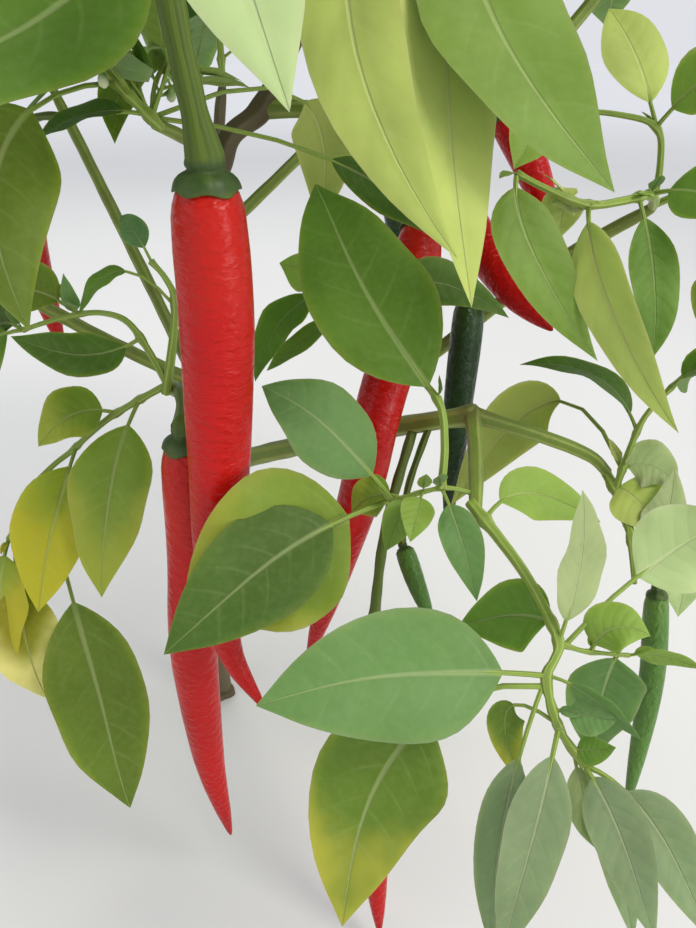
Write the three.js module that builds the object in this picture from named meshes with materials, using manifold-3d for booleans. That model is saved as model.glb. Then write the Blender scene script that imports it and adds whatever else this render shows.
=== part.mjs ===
// A chilli pepper plant in full fruit: one short stem, thin boughs that fork again and again, leafy
// twigs, and long pods that hang below them. Millimetres, Z up. The origin is on the stem's flat cut
// foot, and -Y is the plant's front, where most of the pods hang.
import * as THREE from 'three';
import Module from 'manifold-3d';

const wasm = await Module();
wasm.setup();
const { Manifold, Mesh } = wasm;

const CLEARANCE = 0.3; // between any two pieces
const CORNER_SHARE = 1.1; // a bar grown by the clearance grows this much more at its corners
const HELD_WITHIN = 0.6; // a twig or a leaf grows from a twig no further off than this
const JOINT_FUZZ = 0.08; // corners closer than this are merged where twigs and leaves join
const LIMB_SIDES = 8;
const FOOT_RADIUS = 9.5; // the stem flares to this at the ground
const FLARE_HEIGHT = 26;
const TWIG_SIDES = 3;
const TWIG_RADII = [1.6, 0.8]; // of a mass's first twig, at its root and at its end
const SHOOT_RADII = [1.15, 0.7]; // of the shoots that it bears
const LEAF_FOLD = 0.16; // how far each half is raised, as a share of its width
const LEAF_BACK = 0.45; // the midrib stands this far out of the underside
const LEAF_STALK = 0.5; // half-width of a leaf's stalk
const BLADE_POWERS = [0.7, 1.15]; // how fast a blade widens from its base and narrows to its tip
const BLADE_PEAK = 0.293; // what those powers reach where the blade is widest
const BLADE_SECTIONS = [0.18, 0.42, 0.72]; // of the blade's length, for the leaves placed one by one
const CROWN_SECTIONS = [0.28, 0.62]; // for the leaves of the crown
const ROOT_DEPTH = 0.6; // a crown leaf starts this far beyond its twig's centre line
const POD_SIDES = 8;
const STALK_SIDES = 6;
// A pod's radius along its length: shares of the length, and of the greatest radius.
const POD_SHAPE = [[0, 0.55], [0.05, 0.92], [0.22, 1], [0.5, 0.9], [0.74, 0.66], [0.92, 0.32], [1, 0.1]];
const CALYX_WALL = 1.1;
const CALYX_RIM = 0.86; // radius inside the cap's rim, as a share of the pod's radius
const CALYX_TOP = 0.6; // and inside its top
const CALYX_HEIGHT = 1; // the top stands this far above the pod
const COLLAR_HEIGHT = 0.5; // the stalk starts to widen this far above, as a share of the pod's radius
const COLLAR_WIDTH = 1.3; // and is this many times its own radius there
const CALYX_DEPTH = 0.36; // how far it reaches down the pod, as a share of the pod's radius

const COLOURS = {
  bark: 0x5f7a35, ripe: 0xc3160f, unripe: 0x24401c, stalk: 0x6f9440, leaf: 0x5d8f3f,
};

// The stem and the boughs: centre line, radius at the root and radius at the end.
const LIMBS = [
  ['main_stem', [[0, 0, 0], [0.5, 0.5, 45], [1, 1, 85], [1, 1, 120]], 6.4, 5.2],
  ['bough_middle', [[1, 1, 120], [8, -6, 160], [14, -14, 200], [25, -25, 251], [38, -18, 265],
    [48, -12, 285]], 4.4, 3],
  ['bough_front_right', [[1, 1, 120], [28, -17, 138], [55, -35, 153], [81, -55, 168],
    [105, -72, 180]], 4, 3],
  ['bough_back', [[1, 1, 120], [0, 30, 150], [4, 62, 205], [10, 92, 268]], 4, 2.4],
  ['bough_front_left', [[8, -6, 160], [10, -40, 174], [11, -73, 190]], 3.2, 2.4],
  ['bough_towards_front', [[105, -72, 180], [103, -95, 176], [100, -118, 173]], 2.3, 1.9],
  ['bough_far_right', [[105, -72, 180], [125, -76, 175], [141, -78, 169], [147, -80, 164]], 2.3, 1.9],
  ['bough_right', [[55, -35, 153], [95, -20, 180], [135, -25, 215], [160, -45, 238]], 2.8, 2],
  ['bough_upper_left', [[25, -25, 251], [17, -42, 258], [11, -55, 263]], 2.2, 1.8],
  ['bough_high_right', [[38, -18, 265], [60, -18, 264], [100, -24, 258], [132, -8, 282],
    [150, 4, 300]], 2.8, 2],
  ['bough_upper_front', [[48, -12, 285], [40, -55, 300], [33, -95, 310], [30, -128, 309]], 2.8, 2.2],
  ['bough_upper_right', [[48, -12, 285], [65, -50, 308], [80, -85, 320], [86, -105, 322]], 2.6, 2],
  ['bough_top', [[48, -12, 285], [40, 0, 318], [32, 8, 350]], 2.8, 2],
  ['bough_left', [[0, 30, 150], [-40, 10, 182], [-75, -10, 216], [-98, -24, 242]], 3, 2.1],
  ['bough_back_left', [[0, 30, 150], [-28, 46, 210], [-55, 60, 268]], 2.8, 2.1],
  ['bough_back_right', [[4, 62, 205], [44, 75, 240], [78, 82, 272]], 2.8, 2.1],
];

// The pods: centre line from the calyx to the tip, greatest radius, and ripe or not. The stalk runs
// from where it grows on to the calyx.
const PODS = [
  ['front', [[36, -124, 257], [35.5, -122, 225], [33, -118, 190], [30, -116, 158], [31.5, -120, 128],
    [41.5, -126, 110]], 8.6, true, [[30, -127, 309], [33, -125, 282]], 2.6],
  ['front_left', [[21, -101, 185], [20, -101, 150], [17, -102, 110], [18, -102, 65], [23, -102, 25]],
    8, true, [[12, -65, 186], [17, -84, 192]], 1.7],
  ['middle', [[90, -32, 231], [87, -44, 212], [76, -67, 180], [70, -74, 154], [60, -76, 117],
    [51, -73, 82]], 8, true, [[97, -24, 258], [93, -28, 246]], 1.7],
  ['middle_right', [[103, -2, 236], [112, -12, 222], [122, -30, 209], [133, -49, 200]],
    7.5, true, [[112, -19, 264], [106, -8, 250]], 1.7],
  ['unripe_long', [[108, -31, 205], [105, -40, 168], [103, -46, 122]], 5.6, false,
    [[106, -24, 258], [108, -28, 232]], 1.6],
  ['high_right', [[122, 10, 262], [133, 4, 243], [142, -3, 222]], 7, true,
    [[133, -7, 283], [125, 4, 279]], 1.6],
  ['low', [[74, -98, 112], [74, -108, 78], [75, -118, 40], [77, -127, 6]], 7, true,
    [[88, -60, 171], [78, -84, 146]], 1.6],
  ['unripe_right', [[152, -120, 147], [153, -126, 118], [150, -134, 76]], 3.6, false,
    [[151.4, -104, 150.4], [152.5, -114, 151]], 1.3],
  ['unripe_small', [[85, -73, 131], [89.5, -82, 121], [94.5, -91, 111]], 3.4, false,
    [[93, -64, 174], [86, -66, 150]], 1.2],
  ['left', [[-84, -32, 205], [-84, -40, 165], [-80, -42, 118]], 8, true,
    [[-80, -13, 221], [-84, -26, 222]], 1.7],
  ['back_left', [[-78, 74, 238], [-82, 78, 196], [-76, 80, 148]], 7.6, true,
    [[-50, 57, 258], [-68, 68, 256]], 1.7],
  ['back', [[-6, 104, 226], [-6, 112, 184], [-2, 116, 134]], 8, true,
    [[7, 78, 240], [-3, 96, 244]], 1.7],
  ['back_right', [[86, 94, 230], [92, 104, 190], [88, 104, 144]], 6, false,
    [[68, 80, 264], [82, 90, 250]], 1.6],
];

// The lower and front foliage, placed twig by twig and leaf by leaf. A twig is its centre line. A leaf is
// where it grows, its tip, its width, its stalk's share of the length, its roll in degrees, and how far
// the middle is bent out of the straight line.
const SPRAYS = [
  ['leaves_front_left', [
    [[11, -74, 191], [15, -70, 216], [10, -73, 228]],
    [[11, -74, 191], [0, -69, 209], [-16, -64, 210], [-34, -64, 205]],
    [[11, -74, 191], [-8, -74, 180], [-22, -73, 168], [-32, -77, 160], [-42, -86, 143]],
  ], [
    [[3, -70, 204], [-26, -92, 212], 15, 0.14, 4, [1, -1, -5]],
    [[-6, -74, 182], [-27, -86, 176], 19, 0.16, 10, [0, 0, 5]],
    [[2, -74, 186], [-6, -110, 138], 26, 0.16, 10, [-2, -3, 5]],
    [[-20, -73, 169], [-29, -105, 129], 24, 0.14, -8, [1, -3, 4]],
    [[-42, -86, 143], [-40, -104, 108], 22, 0.14, 20, [-2, -2, 3]],
    [[-40, -84, 146], [-33, -103, 92], 22, 0.3, -10, [0, -6, 2]],
    [[-32, -77, 160], [-5, -120, 61], 31, 0.34, 0, [2, -5, 0]],
    [[10, -73, 228], [2, -71, 240], 8, 0.2, 0, [0, 0, 2]],
    [[15, -70, 214], [-10, -82, 215], 9, 0.45, 30, [-1, 2, 11]],
    [[15, -70, 216], [30, -78, 238], 10, 0.2, 0, [0, 0, 3]],
    [[-16, -64, 210], [-18, -66, 223], 5, 0.2, 0, [0, -1, -2]],
    [[-16, -64, 210], [-44, -60, 216], 18, 0.2, 10, [0, 0, 4]],
    [[-34, -64, 205], [-62, -74, 182], 22, 0.15, 0, [0, 0, 6]],
    [[-34, -64, 205], [-58, -46, 190], 22, 0.15, 0, [0, 0, 6]],
  ]],
  ['leaves_inner', [
    [[99, -112, 174.5], [91, -114, 177], [76, -113, 172]],
    [[91, -114, 177], [90, -103, 198], [70, -67, 206], [59, -53, 214]],
  ], [
    [[90, -103, 198], [56, -50, 246], 35, 0.05, 0, [-3, -2, 1]],
    [[78, -113, 173], [44, -110, 205], 23, 0.16, 10, [0, 0, 4]],
    [[76, -113, 172], [22, -152, 152], 27, 0.26, 0, [0, -2, 7]],
    [[77, -113, 172], [24, -137, 155], 42, 0.2, -20, [0, -3, 4]],
    [[80, -113, 174], [67, -108, 166], 12, 0.2, 0, [0, 0, 3]],
    [[91, -114, 177], [99, -136, 156], 11, 0.2, 0, [0, 0, 3]],
    [[82, -88, 202], [112, -79, 213], 15, 0.34, 0, [-10, 10, 14]],
    [[86, -114, 176], [82, -130, 170], 9, 0.2, 0, [0, 0, 2]],
    [[84, -114, 175], [76, -122, 162], 9, 0.2, 0, [0, 0, 2]],
    [[59, -53, 214], [38, -77, 193], 14, 0.12, 20, [-3, 2, 4]],
    [[59, -53, 214], [44, -45, 221], 13, 0.12, -20, [1, 2, 1]],
    [[63, -59, 210], [42, -81, 198], 8, 0.1, 20, [-1, -1, -1]],
  ]],
  ['leaves_facing_front', [
    [[100, -119, 173], [110, -136, 165], [116, -152, 156], [112, -159, 152], [115, -164, 141],
      [121, -168, 133]],
    [[116, -152, 156], [124, -148, 150], [136, -146, 147]],
  ], [
    [[112, -159, 152], [46, -172, 156], 29, 0.16, 0, [0, 0, 4]],
    [[113, -160, 150], [64, -184, 98], 31, 0.4, -6, [-8, 8, 14]],
    [[116, -152, 156], [119, -144, 193], 13, 0.14, 25, [2, 0, 0]],
    [[114, -148, 158], [94, -138, 150], 18, 0.06, 0, [3, 1, 2]],
    [[115, -164, 141], [99, -196, 105], 14, 0.14, 0, [0, -2, 4]],
    [[112, -159, 152], [99, -186, 95], 12, 0.3, 25, [-3, -1, 1]],
    [[121, -168, 133], [134, -193, 106], 13, 0.12, 12, [-1, 1, 6]],
    [[115, -164, 142], [107, -166, 125], 9, 0.38, 0, [-7, 5, 9]],
    [[118, -166, 137], [127, -169, 140], 7, 0.2, 0, [-1, 0, -1]],
    [[114, -162, 145], [127, -167, 146], 9, 0.25, 0, [0, 0, 0]],
    [[133, -146, 148], [131, -148, 114], 20, 0.05, 0, [-1, 0, 4]],
    [[136, -146, 147], [153, -150, 146], 7, 0.1, 60, [0, 1, 1]],
    [[126, -148, 150], [138, -151, 157], 14, 0.1, -20, [-2, 1, 4]],
    [[112, -159, 152], [133, -168, 141], 8, 0.3, 60, [-2, 0, 4]],
    [[119, -166, 136], [125, -174, 112], 9, 0.15, 0, [0, 1, -1]],
    [[121, -168, 133], [132, -187, 97], 9, 0.2, 0, [2, 3, 0]],
    [[121, -168, 133], [150, -188, 98], 14, 0.3, 0, [1, 4, 6]],
    [[118, -151, 154], [164, -128, 176], 23, 0.43, 0, [2, 8, -2]],
    [[102, -122, 172], [137, -109, 163], 15, 0.2, 0, [-3, 7, 5]],
  ]],
  ['leaves_far_right', [
    [[147, -80, 163.5], [150, -95, 156], [146, -118, 149]],
    [[148, -86, 161], [156, -79, 182], [172, -74, 199]],
  ], [
    [[150, -84, 167], [102, -59, 140], 22, 0.42, 0, [9, 25, 20]],
    [[150, -95, 156], [162, -100, 150], 12, 0.2, 0, [0, 0, 3]],
    [[149, -103, 154], [163, -91, 172], 13, 0.1, 0, [3, -2, -5]],
    [[148, -84, 161], [161, -102, 152], 18, 0.1, 0, [-1, 0, 4]],
    [[150, -84, 167], [165, -91, 165], 16, 0.1, 0, [0, 2, 3]],
    [[172, -74, 199], [200, -84, 190], 25, 0.15, 0, [0, 0, 6]],
    [[172, -74, 199], [190, -52, 216], 24, 0.15, 0, [0, 0, 5]],
    [[163, -75, 191], [170, -104, 204], 19, 0.15, 0, [0, 0, 5]],
    [[150, -97, 156], [172, -96, 120], 22, 0.2, 0, [6, 3, 6]],
    [[154, -80, 178], [122, -54, 190], 13, 0.12, 35, [7, 5, 5]],
  ]],
  ['leaves_right_front', [
    [[160, -46, 239], [147, -78, 247], [126, -95, 247], [108, -92, 254]],
    [[160, -46, 239], [154, -55, 262], [130, -48, 266]],
    [[160, -46, 239], [178, -62, 252], [196, -78, 262]],
  ], [
    [[108, -92, 254], [128, -114, 213], 17, 0.1, 0, [-7, -1, 4]],
    [[126, -95, 247], [144, -131, 201], 14, 0.1, 50, [-7, -1, 4]],
    [[142, -84, 247], [142, -111, 212], 13, 0.12, 0, [2, -2, 0]],
    [[130, -48, 266], [112, -66, 252], 18, 0.15, 0, [0, 0, 4]],
    [[147, -78, 247], [170, -108, 238], 22, 0.14, 0, [0, 0, 6]],
    [[154, -55, 262], [170, -80, 280], 20, 0.14, 0, [0, 0, 5]],
    [[196, -78, 262], [222, -104, 240], 26, 0.14, 0, [0, 0, 7]],
    [[196, -78, 262], [226, -66, 268], 24, 0.14, 0, [0, 0, 7]],
    [[178, -62, 252], [206, -36, 240], 26, 0.14, 0, [0, 0, 7]],
    [[187, -70, 257], [178, -110, 256], 24, 0.14, 0, [0, 0, 6]],
    [[154, -55, 262], [140, -40, 292], 19, 0.14, 0, [0, 0, 4]],
    [[121, -94, 249], [120, -93, 238], 11, 0.1, 0, [0, 2, 3]],
  ]],
];

// The crown: where each mass of foliage starts, the middle of the space it fills, that space's three
// radii and the seed of its growth. More leaves that are placed one by one may follow.
const CROWN = [
  ['leaves_upper_left', [11, -56, 264], [-36, -58, 330], [70, 66, 56], 11, [
    [[11, -58, 266], [-23, -60, 258], 15, 0.2, 30, [0, 0, 4]],
    [[5, -66, 276], [-2, -138, 228], 26, 0.34, -35, [-10, -14, 12]],
    [[11, -57, 265], [57, -46, 233], 19, 0.54, 0, [17, 21, 20]],
    [[11, -57, 265], [101, -61, 229], 15, 0.5, 60, [5, 9, 6]],
    [[11, -57, 265], [-30, -77, 253], 8, 0.3, 60, [5, 6, 19]],
    [[11, -57, 265], [-3, -49, 257], 13, 0.35, 0, [-3, 8, 12]],
  ]],
  ['leaves_upper_front', [30, -129, 310], [24, -122, 360], [66, 60, 50], 23, [
    [[30, -130, 312], [-16, -163, 275], 32, 0.3, 0, [15, -9, -5]],
    [[31, -132, 314], [59, -198, 274], 24, 0.36, 0, [0, -8, 14]],
  ]],
  ['leaves_upper_right', [86, -106, 322], [100, -92, 368], [70, 66, 52], 37, [
    [[86, -107, 324], [87, -149, 246], 20, 0.28, 20, [-21, -1, 7]],
    [[88, -106, 326], [90, -148, 236], 22, 0.3, -20, [-4, 2, 7]],
    [[88, -106, 324], [116, -145, 257], 27, 0.26, 0, [-10, -3, 0]],
  ]],
  ['leaves_top', [32, 8, 350.5], [26, 8, 396], [84, 80, 60], 41, []],
  ['leaves_high_right', [150, 4, 300.5], [162, 14, 338], [76, 80, 60], 53, []],
  ['leaves_left', [-98.5, -24, 242.5], [-118, -34, 278], [76, 84, 60], 67, []],
  ['leaves_back_left', [-55, 60, 268.5], [-78, 70, 318], [82, 74, 60], 79, []],
  ['leaves_back', [10, 92.5, 268.5], [8, 112, 318], [78, 70, 60], 83, []],
  ['leaves_back_right', [78.5, 82, 272.5], [96, 92, 318], [78, 74, 60], 97, []],
];

const LEAF_LENGTHS = [46, 78];
const LEAF_SLENDERNESS = [0.42, 0.52]; // width over length
const GROWTH_LEVELS = 3;
const FORKS = [3, 2]; // new twigs at each fork, from the lowest level up
const FIRST_LENGTH = 0.62; // of a mass's first twig, as a share of the way to its middle
const SHORTENING = [0.8, 0.98]; // of each twig, as a share of the one before it
const TWIG_SAG = [0.02, 0.09]; // as a share of its length
const FORK_SPREAD = [0.6, 0.95]; // radians between a twig and the one that bears it
const FORK_TURN = 1.3; // radians round the twig, from its first leaf to its first fork
const INWARD_PULL = 0.35; // how strongly twigs turn back to the middle of their space
const LEAF_PLACES = [0.2, 0.4, 0.6, 0.8]; // along each length of twig, as shares of it
const LEAF_TURN = 2.4; // radians round the twig from one leaf to the next
const LEAF_SPREAD = [0.75, 1.25]; // radians between a twig and its leaves
const END_LEAF_SPREAD = [0.1, 0.4]; // and for the leaf at its end
const END_LEAF_PLACE = 0.06; // from the twig's end, as a share of its outer half
const LEAF_STALK_SHARE = 0.16; // of the leaf's length
const LEAF_DROOP = [0.05, 0.75];
const LEAF_ROLL = 28; // degrees to either side
const LEAF_LIFT = [0.05, 0.16]; // how far a leaf arches up, as a share of its length
const LEAF_LEAN = 0.6; // how far the upper side leans outwards
const LEAF_REACH = 1.3; // leaf tips go no further out than this share of their space

const UP = new THREE.Vector3(0, 0, 1);
const FRONT_FACING = new THREE.Vector3(0, -0.75, 0.65).normalize();
const point = (p) => new THREE.Vector3(p[0], p[1], p[2]);

// Evenly likely numbers, the same ones each time for the same seed.
class Chance {
  constructor(seed) { this.state = seed * 7919; }

  between(low, high) {
    this.state = (this.state * 48271) % 2147483647;
    return low + ((high - low) * this.state) / 2147483647;
  }
}

// A smooth line through the given points, with `steps` pieces between neighbours.
function smooth(points, steps) {
  const p = points.map((q) => (q.isVector3 ? q : point(q)));
  const line = [p[0].clone()];
  for (let i = 0; i + 1 < p.length; i++) {
    const before = i > 0 ? p[i - 1] : p[0].clone().multiplyScalar(2).sub(p[1]);
    const after = i + 2 < p.length ? p[i + 2] : p[i + 1].clone().multiplyScalar(2).sub(p[i]);
    for (let k = 1; k <= steps; k++) {
      const t = k / steps;
      const weights = [(-t + 2 * t * t - t ** 3) / 2, (2 - 5 * t * t + 3 * t ** 3) / 2,
        (t + 4 * t * t - 3 * t ** 3) / 2, (t ** 3 - t * t) / 2];
      const q = new THREE.Vector3();
      [before, p[i], p[i + 1], after].forEach((c, j) => q.addScaledVector(c, weights[j]));
      line.push(q);
    }
  }
  return line;
}

// A closed skin over rings of equally many points. Each end is flat, or runs to a single point.
function skin(rings, { root = null, tip = null } = {}) {
  const n = rings[0].length;
  const points = rings.flat();
  const faces = [];
  for (let i = 0; i + 1 < rings.length; i++) {
    for (let j = 0; j < n; j++) {
      const [a, b] = [i * n + j, i * n + ((j + 1) % n)];
      faces.push(a, b, b + n, a, b + n, a + n);
    }
  }
  const last = (rings.length - 1) * n;
  if (root) {
    points.push(root);
    for (let j = 0; j < n; j++) faces.push((j + 1) % n, j, points.length - 1);
  } else {
    for (let j = 1; j + 1 < n; j++) faces.push(0, j + 1, j);
  }
  if (tip) {
    points.push(tip);
    for (let j = 0; j < n; j++) faces.push(last + j, last + ((j + 1) % n), points.length - 1);
  } else {
    for (let j = 1; j + 1 < n; j++) faces.push(last, last + j, last + j + 1);
  }
  const mesh = new Mesh({
    numProp: 3,
    vertProperties: new Float32Array(points.flatMap((p) => [p.x, p.y, p.z])),
    triVerts: new Uint32Array(faces),
  });
  return new Manifold(mesh);
}

// The way a line runs at each of its points.
function headings(line) {
  return line.map((_, i) => {
    const [a, b] = [line[Math.max(i - 1, 0)], line[Math.min(i + 1, line.length - 1)]];
    return b.clone().sub(a).normalize();
  });
}

// A round bar along a line. `radiusAt` gives the radius for a share of the length, and `grown` makes the
// bar that much thicker and longer, for cutting its neighbours clear of it. A bar that starts on the
// ground is cut off level there.
function bar(line, radiusAt, sides, grown = 0) {
  const ways = headings(line);
  const centres = line.map((p) => p.clone());
  centres[0].addScaledVector(ways[0], -grown);
  centres.at(-1).addScaledVector(ways.at(-1), grown);
  const spare = Math.abs(ways[0].z) > 0.9 ? new THREE.Vector3(1, 0, 0) : UP;
  let side = spare.clone().cross(ways[0]).normalize();
  const rings = centres.map((centre, i) => {
    side = side.clone().addScaledVector(ways[i], -side.dot(ways[i])).normalize();
    const across = ways[i].clone().cross(side);
    const r = radiusAt(i / (line.length - 1)) + (grown * CORNER_SHARE);
    return Array.from({ length: sides }, (_, j) => {
      const a = (2 * Math.PI * j) / sides;
      return centre.clone().addScaledVector(side, r * Math.cos(a)).addScaledVector(across, r * Math.sin(a));
    });
  });
  if (line[0].z === 0) rings[0].forEach((corner) => corner.setZ(0));
  return skin(rings);
}

const taper = (from, to) => (t) => from + (to - from) * t;

// The stem's own taper, with the flare at its foot.
function stemRadius(from, to, height) {
  return (t) => {
    const flare = Math.max(0, 1 - (t * height) / FLARE_HEIGHT) ** 2;
    return taper(from, to)(t) + (FOOT_RADIUS - from) * flare;
  };
}

// The greatest of the separate pieces that a cut leaves.
function largest(solid) {
  return solid.decompose().reduce((a, b) => (b.volume() > a.volume() ? b : a));
}

// How wide a blade is at share t of its length, as a share of its greatest width.
function bladeWidth(t) {
  const [base, tip] = BLADE_POWERS;
  return (t ** base * (1 - t) ** tip) / BLADE_PEAK;
}

class Leaf {
  constructor(from, tip, wide, stalk, roll, bend, facing) {
    Object.assign(this, { from, tip, wide, stalk, roll, facing });
    this.control = from.clone().add(tip).multiplyScalar(0.5).addScaledVector(bend, 2);
  }

  at(u) {
    return this.from.clone().multiplyScalar((1 - u) ** 2)
      .addScaledVector(this.control, 2 * u * (1 - u)).addScaledVector(this.tip, u * u);
  }

  // The three corners across the leaf: both edges, and the midrib below them.
  section(u, half, grown) {
    const way = this.control.clone().sub(this.from).multiplyScalar(1 - u)
      .addScaledVector(this.tip.clone().sub(this.control), u).normalize();
    const across = way.clone().cross(this.facing).normalize();
    if (this.roll) across.applyAxisAngle(way, THREE.MathUtils.degToRad(this.roll));
    const above = across.clone().cross(way);
    const centre = this.at(u);
    const edge = (s) => centre.clone().addScaledVector(across, s * (half + grown))
      .addScaledVector(above, half * LEAF_FOLD + LEAF_STALK * 0.5 + grown);
    return [edge(1), centre.clone().addScaledVector(above, -LEAF_BACK - grown * 2), edge(-1)];
  }

  blade(sections, grown) {
    return sections.map((t) => this.section(
      this.stalk + (1 - this.stalk) * t, (this.wide / 2) * bladeWidth(t), grown));
  }

  // The whole leaf, with its stalk as a slim bar.
  whole(grown = 0) {
    const stalk = [0, this.stalk].map((u) => this.section(u, LEAF_STALK, grown));
    return skin([...stalk, ...this.blade(BLADE_SECTIONS, grown)], { tip: this.tip });
  }

  // The whole leaf in few faces: it widens from a point inside the twig.
  plain(grown = 0) {
    const way = this.control.clone().sub(this.from).normalize();
    const root = this.from.clone().addScaledVector(way, -ROOT_DEPTH);
    return skin(this.blade(CROWN_SECTIONS, grown), { root, tip: this.tip });
  }

  // The blade alone, a clearance larger all round.
  space() {
    const start = this.section(this.stalk, LEAF_STALK, CLEARANCE);
    return skin([start, ...this.blade(BLADE_SECTIONS, CLEARANCE)], { tip: this.tip });
  }
}

// The nearest place to `near` on any of the lines.
function nearestOn(lines, near) {
  let best = null;
  for (const line of lines) {
    for (let i = 0; i + 1 < line.length; i++) {
      const q = new THREE.Line3(line[i], line[i + 1]).closestPointToPoint(near, true, new THREE.Vector3());
      if (!best || q.distanceTo(near) < best.distanceTo(near)) best = q;
    }
  }
  return best;
}

// The leaves placed one by one, each moved on to the nearest twig.
function placedLeaves(rows, lines) {
  return rows.map(([from, tip, wide, stalk, roll, bend]) => new Leaf(
    nearestOn(lines, point(from)), point(tip), wide, stalk, roll, point(bend), FRONT_FACING));
}

// A way turned from `way` by `angle`, towards the compass direction `turn` around it.
function turned(way, angle, turn) {
  const spare = Math.abs(way.z) > 0.9 ? new THREE.Vector3(1, 0, 0) : UP;
  const side = spare.clone().cross(way).normalize().applyAxisAngle(way, turn);
  return way.clone().multiplyScalar(Math.cos(angle)).addScaledVector(side, Math.sin(angle)).normalize();
}

// The crown's growth: each twig forks at its end, and bears leaves there and along itself.
class Growth {
  constructor(middle, radii, seed) {
    Object.assign(this, { middle, radii, chance: new Chance(seed), shoots: [], leaves: [] });
  }

  // How far out in the space a place is: 1 on its surface.
  depth(p) {
    const q = p.clone().sub(this.middle);
    return Math.hypot(q.x / this.radii.x, q.y / this.radii.y, q.z / this.radii.z);
  }

  leaf(root, way) {
    const c = this.chance;
    const long = c.between(...LEAF_LENGTHS);
    const wide = long * c.between(...LEAF_SLENDERNESS);
    const droop = c.between(...LEAF_DROOP);
    const roll = c.between(-LEAF_ROLL, LEAF_ROLL);
    const lift = c.between(...LEAF_LIFT) * long;
    const heading = way.clone().addScaledVector(UP, -droop).normalize();
    const tip = root.clone().addScaledVector(heading, long);
    const outward = new THREE.Vector3(heading.x, heading.y, 0);
    if (outward.length() < 0.1) outward.set(1, 0, 0);
    const facing = UP.clone().addScaledVector(outward.normalize(), LEAF_LEAN).normalize();
    const bend = facing.clone().addScaledVector(heading, -facing.dot(heading)).multiplyScalar(lift);
    if (this.depth(tip) > LEAF_REACH) return;
    this.leaves.push(new Leaf(root, tip, wide, LEAF_STALK_SHARE, roll, bend, facing));
  }

  // Grows one length of twig on to the end of a shoot, then forks: the first new twig carries the shoot
  // on, and each other one starts a new shoot.
  twig(shoot, way, length, level) {
    const c = this.chance;
    const root = shoot.at(-1);
    const end = root.clone().addScaledVector(way, length);
    const sag = c.between(...TWIG_SAG) * length;
    const middle = root.clone().add(end).multiplyScalar(0.5).addScaledVector(UP, -sag);
    shoot.push(middle, end);
    const turn = c.between(0, 2 * Math.PI);
    const last = level + 1 === GROWTH_LEVELS;
    LEAF_PLACES.forEach((share, k) => {
      const place = share < 0.5 ? root.clone().lerp(middle, share * 2)
        : middle.clone().lerp(end, share * 2 - 1);
      this.leaf(place, turned(way, c.between(...LEAF_SPREAD), turn + k * LEAF_TURN));
    });
    if (last) {
      const place = end.clone().lerp(middle, END_LEAF_PLACE);
      this.leaf(place, turned(way, c.between(...END_LEAF_SPREAD), turn));
      return;
    }
    const forks = FORKS[level];
    for (let k = 0; k < forks; k++) {
      const angle = c.between(...FORK_SPREAD);
      const next = turned(way, angle, turn + FORK_TURN + (2 * Math.PI * k) / forks);
      const pull = this.middle.clone().sub(end).divide(this.radii);
      next.addScaledVector(pull, INWARD_PULL).normalize();
      const carrier = k ? [end] : shoot;
      if (k) this.shoots.push(carrier);
      this.twig(carrier, next, length * c.between(...SHORTENING), level + 1);
    }
  }
}

const group = new THREE.Group();

function add(name, solid, colour) {
  const { vertProperties, triVerts } = solid.getMesh();
  const geometry = new THREE.BufferGeometry();
  geometry.setAttribute('position', new THREE.BufferAttribute(new Float32Array(vertProperties), 3));
  geometry.setIndex(new THREE.BufferAttribute(new Uint32Array(triVerts), 1));
  const material = new THREE.MeshStandardMaterial({ color: colour, roughness: 0.5 });
  const mesh = new THREE.Mesh(geometry, material);
  mesh.name = name;
  group.add(mesh);
}

// Every limb is cut clear of the limbs before it.
const limbSpaces = [];
for (const [name, path, from, to] of LIMBS) {
  const line = smooth(path, 2);
  const radius = name === 'main_stem' ? stemRadius(from, to, path.at(-1)[2]) : taper(from, to);
  const whole = bar(line, radius, LIMB_SIDES);
  const cut = limbSpaces.length ? largest(whole.subtract(Manifold.union(limbSpaces))) : whole;
  add(name, cut, COLOURS.bark);
  limbSpaces.push(bar(line, radius, LIMB_SIDES, CLEARANCE));
}
const limbSpace = Manifold.union(limbSpaces);

// The place at share t of a line's length.
function along(line, t) {
  const curve = new THREE.CurvePath();
  for (let i = 0; i + 1 < line.length; i++) curve.add(new THREE.LineCurve3(line[i], line[i + 1]));
  return curve.getPointAt(Math.min(t, 1));
}

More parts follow.
